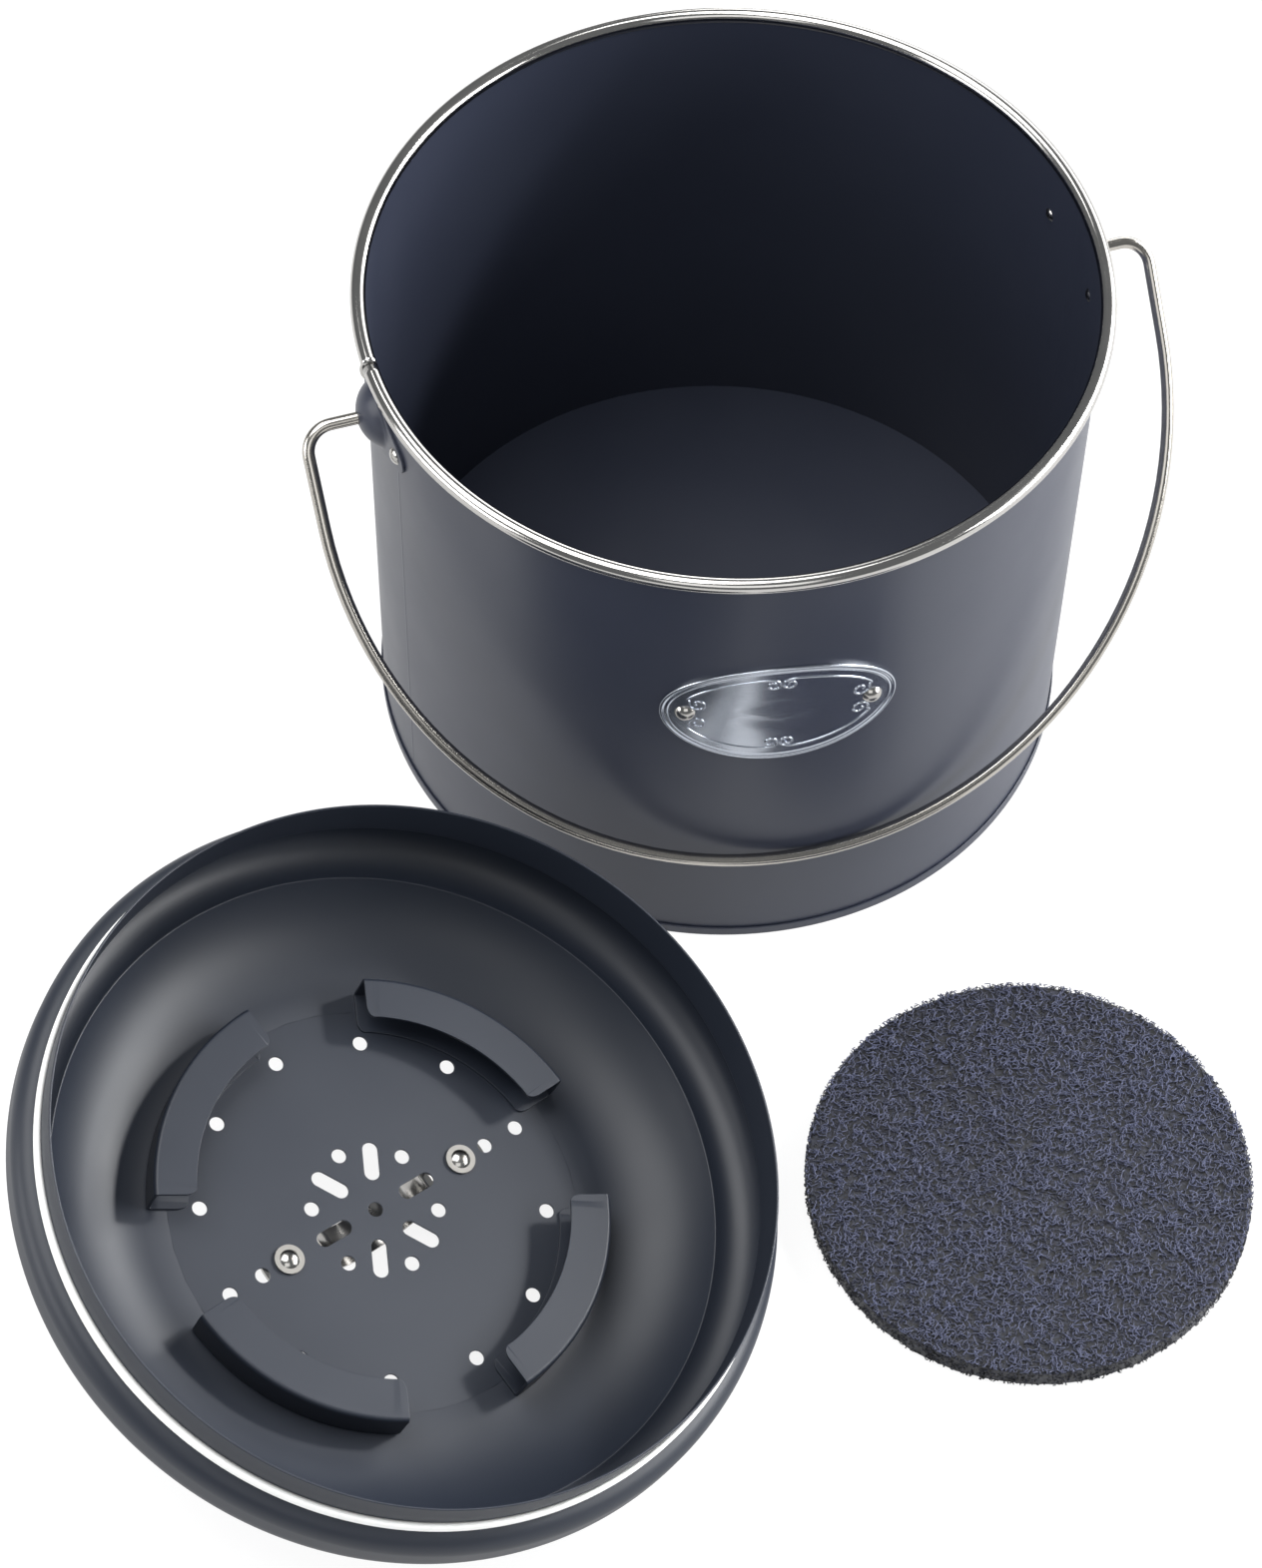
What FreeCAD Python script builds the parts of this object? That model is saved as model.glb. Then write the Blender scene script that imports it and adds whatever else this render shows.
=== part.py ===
import FreeCAD, Part
import math
import os
import Sketcher

# Kitchen compost bin: a sheet-steel pail with a seamed base, a steel rim ring, riveted ears and a wire bail,
# its vented lid laid upside down in front on the left, and the round filter pad laid in front on the right.
# Millimetres. +Z is up, the origin is the middle of the pail's foot, X runs along the bail's hinge axis
# and the bail hangs at the front, on the -Y side.

os.makedirs("parts", exist_ok=True)
doc = FreeCAD.newDocument("compost_bin")
sheet = doc.addObject("Spreadsheet::Sheet", "Sizes")

SIZES = [
    # Pail wall, base and rim ring
    ("wall_radius", "121.0"),
    ("wall_sheet", "0.8"),
    ("pail_height", "204.2"),
    ("base_sheet", "0.8"),
    ("base_recess", "6.2"),
    ("seam_height", "4.2"),
    ("bead_radius", "2.6"),
    ("bead_overhang", "4.0"),
    ("bead_grip", "0.6"),
    ("bead_joint_deg", "0.25"),
    ("bead_joint_turn_deg", "-180"),
    # Ears and their rivets
    ("ear_drop", "25.2"),
    ("ear_sheet", "1.0"),
    ("ear_border", "1.5"),
    ("ear_lobe_radius", "6.0"),
    ("ear_rivet_at", "18.7"),
    ("dome_radius", "12.0"),
    ("dome_rise", "7.0"),
    ("ear_rivet_head_radius", "3.0"),
    ("ear_rivet_head_height", "1.4"),
    ("ear_rivet_shank_radius", "1.6"),
    ("ear_rivet_tail_radius", "2.4"),
    ("ear_rivet_tail_height", "0.9"),
    ("rivet_clearance", "0.05"),
    # Bail
    ("wire_radius", "2.1"),
    ("bail_side_gap", "25.0"),
    ("bail_shank", "33.0"),
    ("bail_corner", "9.0"),
    ("bail_head_radius", "3.6"),
    ("bail_head_length", "2.0"),
    ("bail_head_inset", "3.0"),
    ("bail_clearance", "0.1"),
    ("bail_rest_gap", "0.15"),
    # Nameplate
    ("plate_drop", "72.7"),
    ("plate_half_length", "38.6"),
    ("plate_half_height", "24.7"),
    ("plate_sheet", "0.8"),
    ("plate_border_width", "1.5"),
    ("plate_border_rise", "0.4"),
    ("plate_turn_deg", "-9.7"),
    ("plate_rivet_inset", "8.1"),
    ("plate_rivet_head_radius", "3.5"),
    ("plate_rivet_head_height", "2.2"),
    ("plate_rivet_shank_radius", "1.6"),
    ("plate_rivet_tail_radius", "2.4"),
    ("plate_rivet_tail_height", "0.9"),
    # Lid shell, in the lid's own frame: the underside of its flat middle is height 0
    ("lid_sheet", "0.8"),
    ("lid_overhang", "1.9"),
    ("lid_play", "0.4"),
    ("crease_inset", "3.3"),
    ("crease_height", "19.0"),
    ("bowl_run", "33.9"),
    ("lid_ridge_run", "0.4"),
    ("lid_valley_run", "0.3"),
    ("roll_height", "28.0"),
    ("roll_radius", "11.7"),
    ("side_run", "5.5"),
    ("skirt_bend", "0.8"),
    ("skirt_height", "16.0"),
    ("vent_radius", "2.5"),
    ("vent_inner_ring", "21.5"),
    ("vent_margin", "3.9"),
    ("vent_end_ring", "45.8"),
    ("slot_ring", "16.9"),
    ("slot_length", "13.2"),
    ("slot_width", "5.2"),
    # Lid seal
    ("seal_width", "1.6"),
    ("seal_height", "5.6"),
    ("seal_round", "0.6"),
    # Filter clips
    ("clip_border", "1.3"),
    ("clip_depth", "14.0"),
    ("clip_play", "1.7"),
    ("clip_sheet", "1.0"),
    ("clip_bend", "0.5"),
    ("clip_corner", "4.0"),
    ("clip_span_deg", "58.0"),
    ("clip_turn_deg", "31.6"),
    # Lid handle, its rivets and washers
    ("strap_width", "14.0"),
    ("strap_sheet", "1.5"),
    ("strap_height", "26.45"),
    ("strap_bend_run", "9.3"),
    ("strap_bend_radius", "4.0"),
    ("strap_foot_run", "9.2"),
    ("strap_end_round", "6.0"),
    ("strap_rivet_at", "35.3"),
    ("strap_rivet_head_radius", "3.3"),
    ("strap_rivet_head_height", "1.3"),
    ("strap_rivet_shank_radius", "1.6"),
    ("strap_rivet_tail_radius", "2.6"),
    ("strap_rivet_tail_height", "1.6"),
    ("mandrel_radius", "0.95"),
    ("mandrel_depth", "1.0"),
    ("washer_radius", "5.0"),
    ("washer_sheet", "1.0"),
    # Filter pad
    ("filter_clearance", "1.0"),
    ("filter_thickness", "10.0"),
    ("filter_round", "1.5"),
    # Where the lid and the filter lie
    ("lid_gap", "24.4"),
    ("lid_rest_gap", "0.05"),
    ("lid_bearing_deg", "-132.08"),
    ("lid_lean_deg", "18.79"),
    ("lid_lean_toward_deg", "-38.35"),
    ("lid_spin_deg", "20.8"),
    ("filter_gap", "47.6"),
    ("filter_bearing_deg", "-82.47"),
    # One overrun for every cut
    ("overrun", "5.0"),
]
EAR_COUNT = 2
SLOT_COUNT = 6
INNER_VENT_COUNT = 6
OUTER_VENT_COUNT = 12
HANDLE_END_COUNT = 2
CLIP_COUNT = 4
FULL_TURN = 360.0

for row, (alias, number) in enumerate(SIZES, start=1):
    sheet.set(f"A{row}", alias)
    sheet.set(f"B{row}", number)
    sheet.setAlias(f"B{row}", alias)
doc.recompute()


class Size:
    """A length or ratio that carries its number and the sheet formula that gives it."""

    def __init__(self, number, formula):
        self.number = number
        self.formula = formula

    def __add__(self, other):
        return Size(self.number + other.number, f"({self.formula} + {other.formula})")

    def __sub__(self, other):
        return Size(self.number - other.number, f"({self.formula} - {other.formula})")

    def __mul__(self, other):
        return Size(self.number * other.number, f"({self.formula} * {other.formula})")

    def __truediv__(self, other):
        return Size(self.number / other.number, f"({self.formula} / {other.formula})")

    def __neg__(self):
        return Size(-self.number, f"(-{self.formula})")


def size(alias):
    return Size(float(sheet.get(alias)), f"Sizes.{alias}")


def root(value):
    return Size(math.sqrt(value.number), f"sqrt({value.formula})")


ZERO = Size(0.0, "0")
ONE = Size(1.0, "1")
TWO = Size(2.0, "2")
nodes = []


def vector(x, y, z):
    return FreeCAD.Vector(x.number, y.number, z.number)


def turn(axis, degrees):
    return FreeCAD.Placement(FreeCAD.Vector(), FreeCAD.Rotation(axis, degrees))


def shift(x, y, z):
    return FreeCAD.Placement(vector(x, y, z), FreeCAD.Rotation())


ALONG_X = FreeCAD.Vector(1, 0, 0)
ALONG_Y = FreeCAD.Vector(0, 1, 0)
ALONG_Z = FreeCAD.Vector(0, 0, 1)


def bind(target, prop, value):
    target.setExpression(prop, value.formula)


def new_body(label):
    made = doc.addObject("PartDesign::Body", label)
    made.Label = label
    return made


def node(target, label, placement):
    target.Label = label
    target.Placement = placement
    nodes.append(target)


def new_sketch(body, name, role, offset=None):
    made = body.newObject("Sketcher::SketchObject", name)
    plane = next(f for f in body.Origin.OriginFeatures if f.Role == role)
    made.AttachmentSupport = (plane, [""])
    made.MapMode = "FlatFace"
    if offset:
        made.AttachmentOffset = offset
    return made


def bind_constraint(sketch, constraint, value):
    index = sketch.addConstraint(constraint)
    name = f"size_{index}"
    sketch.renameConstraint(index, name)
    bind(sketch, f"Constraints.{name}", value)


def pin_point(sketch, geometry, end, x, y):
    # Ties one sketch point to its coordinates, or to an axis where a coordinate is zero.
    for value, kind, axis in ((x, "DistanceX", -2), (y, "DistanceY", -1)):
        if value is ZERO:
            sketch.addConstraint(Sketcher.Constraint("PointOnObject", geometry, end, axis))
        else:
            distance = Sketcher.Constraint(kind, -1, 1, geometry, end, value.number)
            bind_constraint(sketch, distance, value)


def arc_between(start, finish, radius, left):
    # The shorter arc from start to finish, turning left or right, in the sketch's plane.
    chord = finish - start
    half = chord.Length / 2
    side = FreeCAD.Vector(-chord.y, chord.x, 0).normalize()
    reach = math.sqrt(max(radius * radius - half * half, 0.0))
    centre = start + chord / 2 + side * (reach if left else -reach)
    circle = Part.Circle(centre, ALONG_Z, radius)
    first, last = (start, finish) if left else (finish, start)
    return Part.ArcOfCircle(circle, circle.parameter(first), circle.parameter(last))


def draw(sketch, points, closed=True):
    # Each point is (x, y), or (x, y, radius, "left" or "right") where an arc leads to the next point.
    count = len(points) if closed else len(points) - 1
    ends = []
    for index in range(count):
        here = points[index]
        after = points[(index + 1) % len(points)]
        start = vector(here[0], here[1], ZERO)
        finish = vector(after[0], after[1], ZERO)
        if len(here) == 2:
            geometry = sketch.addGeometry(Part.LineSegment(start, finish))
            ends.append((geometry, 1, 2))
        else:
            left = here[3] == "left"
            arc = arc_between(start, finish, here[2].number, left)
            geometry = sketch.addGeometry(arc)
            ends.append((geometry, 1, 2) if left else (geometry, 2, 1))
    for index in range(count if closed else count - 1):
        one, _, one_end = ends[index]
        two, two_start, _ = ends[(index + 1) % count]
        sketch.addConstraint(Sketcher.Constraint("Coincident", one, one_end, two, two_start))
    for index in range(count):
        geometry, first, last = ends[index]
        pin_point(sketch, geometry, first, points[index][0], points[index][1])
        if not closed and index == count - 1:
            pin_point(sketch, geometry, last, points[-1][0], points[-1][1])
    for index in range(count):
        if len(points[index]) > 2:
            radius = points[index][2]
            limit = Sketcher.Constraint("Radius", ends[index][0], radius.number)
            bind_constraint(sketch, limit, radius)


def draw_circle(sketch, x, y, radius):
    circle = Part.Circle(vector(x, y, ZERO), ALONG_Z, radius.number)
    geometry = sketch.addGeometry(circle)
    pin_point(sketch, geometry, 3, x, y)
    bind_constraint(sketch, Sketcher.Constraint("Radius", geometry, radius.number), radius)


def revolve(body, sketch, axis, degrees=None, centred=False, cut=False):
    kind = "PartDesign::Groove" if cut else "PartDesign::Revolution"
    made = body.newObject(kind, sketch.Name + ("_groove" if cut else "_turned"))
    made.Profile = sketch
    made.ReferenceAxis = (sketch, [axis])
    made.Midplane = centred
    if degrees is None:
        made.Angle = FULL_TURN
    else:
        bind(made, "Angle", degrees)
    doc.recompute()
    return made


def pad_both_ways(body, sketch, length):
    made = body.newObject("PartDesign::Pad", sketch.Name + "_pad")
    made.Profile = sketch
    made.SideType = "Symmetric"
    bind(made, "Length", length)
    doc.recompute()
    return made


def cut_through(body, sketch, both_ways=True, reach=None):
    # Cuts the sketch through the body: both ways right through, or one way for the length given.
    before = body.Shape.Volume
    made = body.newObject("PartDesign::Pocket", sketch.Name + "_cut")
    made.Profile = sketch
    if both_ways:
        made.SideType = "Symmetric"
        made.Type = "ThroughAll"
    else:
        bind(made, "Length", reach)
        made.Reversed = True
    doc.recompute()
    if body.Shape.Volume >= before:
        raise ValueError(f"{made.Name} cut nothing")
    return made


def ring_of(body, feature, sketch, count):
    made = body.newObject("PartDesign::PolarPattern", feature.Name + "_ring")
    made.Originals = [feature]
    made.Axis = (sketch, ["N_Axis"])
    made.Angle = FULL_TURN
    made.Occurrences = count
    body.Tip = made
    doc.recompute()


def round_edges(body, radius, wanted):
    # Rounds the upright edges whose middle the test picks out.
    feature = body.Tip
    picked = [
        f"Edge{index}"
        for index, edge in enumerate(feature.Shape.Edges, start=1)
        if wanted(edge)
    ]
    made = body.newObject("PartDesign::Fillet", feature.Name + "_round")
    made.Base = (feature, picked)
    bind(made, "Radius", radius)
    body.Tip = made
    doc.recompute()


def upright(edge):
    if edge.Curve.TypeId != "Part::GeomLine":
        return False
    direction = edge.tangentAt(edge.FirstParameter)
    return abs(direction.z) > abs(direction.x) + abs(direction.y)


def mirrored_pair(one, label, normal, placement):
    # A fastener and its twin across the plane through the origin, as separate solids of one node.
    twin = doc.addObject("Part::Mirroring", label + "_twin")
    twin.Source = one
    twin.Normal = normal
    pair = doc.addObject("Part::Compound", label)
    pair.Links = [one, twin]
    doc.recompute()
    node(pair, label, placement)


# Sizes shared by several pieces
wall_radius = size("wall_radius")
wall_sheet = size("wall_sheet")
wall_inside = wall_radius - wall_sheet
base_sheet = size("base_sheet")
pail_height = size("pail_height")
bead_radius = size("bead_radius")
bead_centre = wall_radius + size("bead_overhang") - bead_radius
bead_height = pail_height - bead_radius
wall_top = bead_height + size("bead_grip")
ear_height = pail_height - size("ear_drop")
ear_sheet = size("ear_sheet")
ear_face = wall_radius + ear_sheet
ear_rivet_at = size("ear_rivet_at")
wire_radius = size("wire_radius")
rivet_clearance = size("rivet_clearance")
plate_height = pail_height - size("plate_drop")
plate_half_length = size("plate_half_length")
plate_rivet_at = plate_half_length - size("plate_rivet_inset")
plate_face = wall_radius + size("plate_sheet")
rim_outside = bead_centre + bead_radius
rim_inside = bead_centre - bead_radius
lid_sheet = size("lid_sheet")
lid_outside = rim_outside + size("lid_overhang")
skirt_radius = rim_inside - size("lid_play")
skirt_bend = size("skirt_bend")
shoulder_x = skirt_radius + skirt_bend
shoulder = lid_outside - shoulder_x
shoulder_height = size("roll_height") + size("side_run")
seat = shoulder_height + shoulder
skirt_foot = seat + skirt_bend
roll_radius = size("roll_radius")
roll_centre = lid_outside - roll_radius
lid_crease = roll_centre - size("crease_inset")
lid_flat = lid_crease - size("bowl_run")
clip_sheet = size("clip_sheet")
clip_outside = lid_flat - size("clip_border")
clip_inside = clip_outside - size("clip_depth")
filter_radius = clip_outside - clip_sheet - size("filter_clearance")
filter_thickness = size("filter_thickness")
strap_sheet = size("strap_sheet")
strap_rivet_at = size("strap_rivet_at")
washer_sheet = size("washer_sheet")
overrun = size("overrun")
plate_middle_deg = -FULL_TURN / 4 + size("plate_turn_deg").number


def rivet_turn(reach):
    # The angle round the pail of a rivet that stands this far to the side of its piece's middle.
    return math.degrees(math.asin(reach.number / wall_radius.number))


def rivet_turns(reach):
    return (-rivet_turn(reach), rivet_turn(reach))


def pail_body():
    # The straight wall: a sheet cylinder whose lower edge stands in the base's seam.
    body = new_body("pail_body")
    section = new_sketch(body, "wall_section", "XZ_Plane")
    draw(section, [
        (wall_inside, base_sheet),
        (wall_radius, base_sheet),
        (wall_radius, wall_top),
        (wall_inside, wall_top),
    ])
    revolve(body, section, "V_Axis")
    ear_hole = size("ear_rivet_shank_radius") + rivet_clearance
    for index, angle in enumerate(rivet_turns(ear_rivet_at)):
        hole = new_sketch(body, f"ear_rivet_hole_{index}", "YZ_Plane", turn(ALONG_Y, angle))
        draw_circle(hole, ZERO, ear_height, ear_hole)
        cut_through(body, hole)
    plate_hole = size("plate_rivet_shank_radius") + rivet_clearance
    for index, angle in enumerate(rivet_turns(plate_rivet_at)):
        facing = turn(ALONG_Y, plate_middle_deg + angle)
        hole = new_sketch(body, f"plate_rivet_hole_{index}", "YZ_Plane", facing)
        draw_circle(hole, ZERO, plate_height, plate_hole)
        cut_through(body, hole, both_ways=False, reach=wall_radius + overrun)
    node(body, "pail_body", FreeCAD.Placement())


def pail_base():
    # The raised floor disc. Its edge turns down, out and up round the wall: the seam the pail stands on.
    body = new_body("pail_base")
    floor_under = size("base_recess")
    floor_top = floor_under + base_sheet
    seam_top = size("seam_height")
    leg_inside = wall_inside - base_sheet
    lip_outside = wall_radius + base_sheet
    section = new_sketch(body, "base_section", "XZ_Plane")
    draw(section, [
        (ZERO, floor_under),
        (leg_inside, floor_under),
        (leg_inside, ZERO),
        (lip_outside, ZERO),
        (lip_outside, seam_top),
        (wall_radius, seam_top),
        (wall_radius, base_sheet),
        (wall_inside, base_sheet),
        (wall_inside, floor_top),
        (ZERO, floor_top),
    ])
    revolve(body, section, "V_Axis")
    node(body, "pail_base", FreeCAD.Placement())


def rim_bead():
    # The polished ring, rolled from a strip and slipped over the wall's edge, its ends butted at one joint.
    body = new_body("rim_bead")
    slot_inside = bead_centre - wall_inside
    slot_outside = bead_centre - wall_radius
    inside_drop = root(bead_radius * bead_radius - slot_inside * slot_inside)
    outside_drop = root(bead_radius * bead_radius - slot_outside * slot_outside)
    section = new_sketch(body, "bead_section", "XZ_Plane")
    draw(section, [
        (wall_inside, bead_height - inside_drop),
        (wall_inside, wall_top),
        (wall_radius, wall_top),
        (wall_radius, bead_height - outside_drop, bead_radius, "left"),
        (bead_centre + bead_radius, bead_height, bead_radius, "left"),
        (bead_centre, pail_height, bead_radius, "left"),
        (bead_centre - bead_radius, bead_height, bead_radius, "left"),
    ])
    full = Size(FULL_TURN, f"{FULL_TURN}")
    revolve(body, section, "V_Axis", full - size("bead_joint_deg"))
    node(body, "rim_bead", turn(ALONG_Z, size("bead_joint_turn_deg").number))


def ear(label, placement):
    # A pressed ear: a curved flange with two rivet lobes, and a hollow dome that the bail's end goes into.
    body = new_body(label)
    lobe = size("ear_lobe_radius")
    dome = size("dome_radius")
    middle = dome + size("ear_border")
    lean_share = (middle - lobe) / ear_rivet_at
    rise_share = root(ONE - lean_share * lean_share)
    beyond = ear_rivet_at + lobe + overrun
    tall = middle + overrun
    flange = new_sketch(body, "flange_section", "XZ_Plane")
    draw(flange, [
        (wall_radius, ear_height - tall),
        (ear_face, ear_height - tall),
        (ear_face, ear_height + tall),
        (wall_radius, ear_height + tall),
    ])
    flange_deg = 2 * math.degrees(math.asin(beyond.number / wall_radius.number))
    spread = Size(flange_deg, f"2 * asin({beyond.formula} / {wall_radius.formula})")
    revolve(body, flange, "V_Axis", spread, centred=True)
    trim = new_sketch(body, "flange_trim", "YZ_Plane")
    far = beyond + overrun
    draw(trim, [
        (-far, ear_height - tall - overrun),
        (far, ear_height - tall - overrun),
        (far, ear_height + tall + overrun),
        (-far, ear_height + tall + overrun),
    ])
    near_x = middle * lean_share
    near_z = middle * rise_share
    tip_x = ear_rivet_at + lobe * lean_share
    tip_z = lobe * rise_share
    draw(trim, [
        (-near_x, ear_height - near_z, middle, "left"),
        (near_x, ear_height - near_z),
        (tip_x, ear_height - tip_z, lobe, "left"),
        (tip_x, ear_height + tip_z),
        (near_x, ear_height + near_z, middle, "left"),
        (-near_x, ear_height + near_z),
        (-tip_x, ear_height + tip_z, lobe, "left"),
        (-tip_x, ear_height - tip_z),
    ])
    cut_through(body, trim)
    rise = size("dome_rise")
    dome_ball = (dome * dome + rise * rise) / (rise * TWO)
    at_axis = shift(ZERO, ear_height, ZERO)
    cap = new_sketch(body, "dome_section", "XZ_Plane", at_axis)
    draw(cap, [
        (wall_radius, ZERO),
        (wall_radius, dome, dome_ball, "right"),
        (wall_radius + rise, ZERO),
    ])
    revolve(body, cap, "H_Axis")
    hollow = dome - ear_sheet
    depth = rise - ear_sheet
    hollow_ball = (hollow * hollow + depth * depth) / (depth * TWO)
    behind = wall_radius - overrun
    bore = new_sketch(body, "hollow_section", "XZ_Plane", at_axis)
    draw(bore, [
        (behind, ZERO),
        (behind, hollow),
        (wall_radius, hollow, hollow_ball, "right"),
        (wall_radius + depth, ZERO),
    ])
    revolve(body, bore, "H_Axis", cut=True)
    eye = new_sketch(body, "wire_eye", "YZ_Plane")
    draw_circle(eye, ZERO, ear_height, wire_radius + size("bail_clearance"))
    cut_through(body, eye)
    hole_radius = size("ear_rivet_shank_radius") + rivet_clearance
    for index, angle in enumerate(rivet_turns(ear_rivet_at)):
        hole = new_sketch(body, f"flange_hole_{index}", "YZ_Plane", turn(ALONG_Y, angle))
        draw_circle(hole, ZERO, ear_height, hole_radius)
        cut_through(body, hole)
    node(body, label, placement)


def wall_rivet(label, prefix, face, height):
    # A solid rivet along X: a domed head on the outside, a shank through the wall and a set tail inside.
    body = new_body(label)
    head = size(prefix + "_head_radius")
    rise = size(prefix + "_head_height")
    shank = size(prefix + "_shank_radius")
    tail = size(prefix + "_tail_radius")
    tail_rise = size(prefix + "_tail_height")
    tail_face = root(wall_inside * wall_inside - tail * tail)
    head_ball = (head * head + rise * rise) / (rise * TWO)
    tail_ball = (tail * tail + tail_rise * tail_rise) / (tail_rise * TWO)
    section = new_sketch(body, "rivet_section", "XZ_Plane", shift(ZERO, height, ZERO))
    draw(section, [
        (tail_face - tail_rise, ZERO, tail_ball, "right"),
        (tail_face, tail),
        (tail_face, shank),
        (face, shank),
        (face, head, head_ball, "right"),
        (face + rise, ZERO),
    ])
    revolve(body, section, "H_Axis")
    return body


def wall_rivet_pair(label, prefix, face, height, reach, middle_deg):
    one = wall_rivet(label + "_one", prefix, face, height)
    one.Placement = turn(ALONG_Z, rivet_turn(reach))
    mirrored_pair(one, label, ALONG_Y, turn(ALONG_Z, middle_deg))


def bail_wire():
    # One length of wire: an upset head in each ear, a corner, a straight shank and a half round.
    body = new_body("bail_wire")
    half = wall_radius + size("bail_side_gap")
    shank = size("bail_shank")
    corner = size("bail_corner")
    head_end = wall_radius + size("bail_head_inset")
    start = -head_end
    route = new_sketch(body, "bail_route", "XZ_Plane")
    draw(route, [
        (start, ZERO),
        (-(half - corner), ZERO, corner, "left"),
        (-half, -corner),
        (-half, -shank, half, "left"),
        (ZERO, -(shank + half), half, "left"),
        (half, -shank),
        (half, -corner, corner, "left"),
        (half - corner, ZERO),
        (head_end, ZERO),
    ], closed=False)
    across = new_sketch(body, "wire_section", "YZ_Plane", shift(ZERO, ZERO, start))
    draw_circle(across, ZERO, ZERO, wire_radius)
    doc.recompute()
    wire = body.newObject("PartDesign::AdditivePipe", "wire")
    wire.Profile = across
    wire.Spine = (route, [])
    doc.recompute()
    head = size("bail_head_radius")
    head_length = size("bail_head_length")
    for name, sign in (("left_head", -ONE), ("right_head", ONE)):
        section = new_sketch(body, name, "XZ_Plane")
        outer = head_end + head_length
        points = [(head_end, ZERO), (head_end, head), (outer, head), (outer, ZERO)]
        draw(section, [(sign * x, y) for x, y in points])
        revolve(body, section, "H_Axis")
    depth = shank + half
    reach = wall_radius + wire_radius + size("bail_rest_gap")
    rest_deg = math.degrees(math.asin(reach.number / depth.number))
    node(body, "bail_wire", shift(ZERO, ZERO, ear_height) * turn(ALONG_X, -rest_deg))
    print("bail rest angle from straight down", round(rest_deg, 3))


def curved_sheet(name, inside, outside, half_tall):
    # A tall piece of cylinder wall between two radii, centred on the nameplate's height.
    rings = []
    for suffix, radius in (("outer", outside), ("inner", inside)):
        ring = doc.addObject("Part::Cylinder", f"{name}_{suffix}")
        bind(ring, "Radius", radius)
        bind(ring, "Height", half_tall * TWO)
        bind(ring, "Placement.Base.z", plate_height - half_tall)
        rings.append(ring)
    made = doc.addObject("Part::Cut", name)
    made.Base, made.Tool = rings
    return made


def oval_prism(name, half_length, half_height):
    # An upright oval pushed out along X, far enough to pass the pail's wall.
    oval = doc.addObject("Part::Ellipse", name + "_oval")
    bind(oval, "MajorRadius", half_length)
    bind(oval, "MinorRadius", half_height)
    facing = FreeCAD.Rotation(ALONG_Y, ALONG_Z, ALONG_X, "ZXY")
    oval.Placement = FreeCAD.Placement(vector(ZERO, ZERO, plate_height), facing)
    bind(oval, "Placement.Base.z", plate_height)
    made = doc.addObject("Part::Extrusion", name)
    made.Base = oval
    made.DirMode = "Normal"
    made.Solid = True
    bind(made, "LengthFwd", wall_radius + overrun)
    return made


def boolean(kind, name, base, tool):
    made = doc.addObject(kind, name)
    made.Base = base
    made.Tool = tool
    return made


def nameplate():
    # An oval plate bent to the wall, with a raised border and two rivet holes. Its middle is bare.
    half_height = size("plate_half_height")
    border = size("plate_border_width")
    border_face = plate_face + size("plate_border_rise")
    tall = half_height + overrun
    thin = curved_sheet("plate_sheet_ring", wall_radius, plate_face, tall)
    raised = curved_sheet("plate_border_ring", wall_radius, border_face, tall)
    whole = oval_prism("plate_oval_prism", plate_half_length, half_height)
    inner_length = plate_half_length - border
    field = oval_prism("plate_field_prism", inner_length, half_height - border)
    rim = boolean("Part::Cut", "plate_rim_prism", whole, field)
    plain = boolean("Part::Common", "plate_plain", thin, field)
    edge = boolean("Part::Common", "plate_edge", raised, rim)
    joined = boolean("Part::Fuse", "plate_joined", plain, edge)
    holes = []
    for index, angle in enumerate(rivet_turns(plate_rivet_at)):
        hole = doc.addObject("Part::Cylinder", f"plate_hole_{index}")
        bind(hole, "Radius", size("plate_rivet_shank_radius") + rivet_clearance)
        bind(hole, "Height", wall_radius + overrun)
        out = turn(ALONG_Z, angle) * turn(ALONG_Y, FULL_TURN / 4)
        hole.Placement = shift(ZERO, ZERO, plate_height) * out
        holes.append(hole)
    first = boolean("Part::Cut", "plate_first_hole", joined, holes[0])
    plate = boolean("Part::Cut", "nameplate", first, holes[1])
    doc.recompute()
    node(plate, "nameplate", turn(ALONG_Z, plate_middle_deg))


def beside_pail(radius, prefix):
    # A round piece laid beside the pail, a gap away from its wall and on a bearing round it.
    reach = wall_radius + size(prefix + "_gap") + radius
    bearing = math.radians(size(prefix + "_bearing_deg").number)
    along = FreeCAD.Vector(math.cos(bearing), math.sin(bearing), 0)
    return FreeCAD.Placement(along * reach.number, FreeCAD.Rotation())


def lid_pose():
    # The upturned lid leans over until its bowl and its handle touch the surface that the pail stands on.
    lean = math.radians(size("lid_lean_deg").number)
    bowl = lid_bowl_radius() + lid_sheet
    flat = lid_flat.number * math.sin(lean)
    bowl_rest = bowl.number - (bowl - lid_sheet).number * math.cos(lean)
    rest = flat + bowl_rest + size("lid_rest_gap").number
    toward = size("lid_lean_toward_deg").number
    tilt = turn(ALONG_Z, toward) * turn(ALONG_Y, math.degrees(lean)) * turn(ALONG_Z, -toward)
    place = beside_pail(lid_outside, "lid")
    place.Base.z = rest
    return place * tilt * turn(ALONG_Z, size("lid_spin_deg").number)


def lid_bowl_radius():
    run = size("bowl_run")
    rise = size("crease_height")
    return (run * run + rise * rise) / (rise * TWO)


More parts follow.
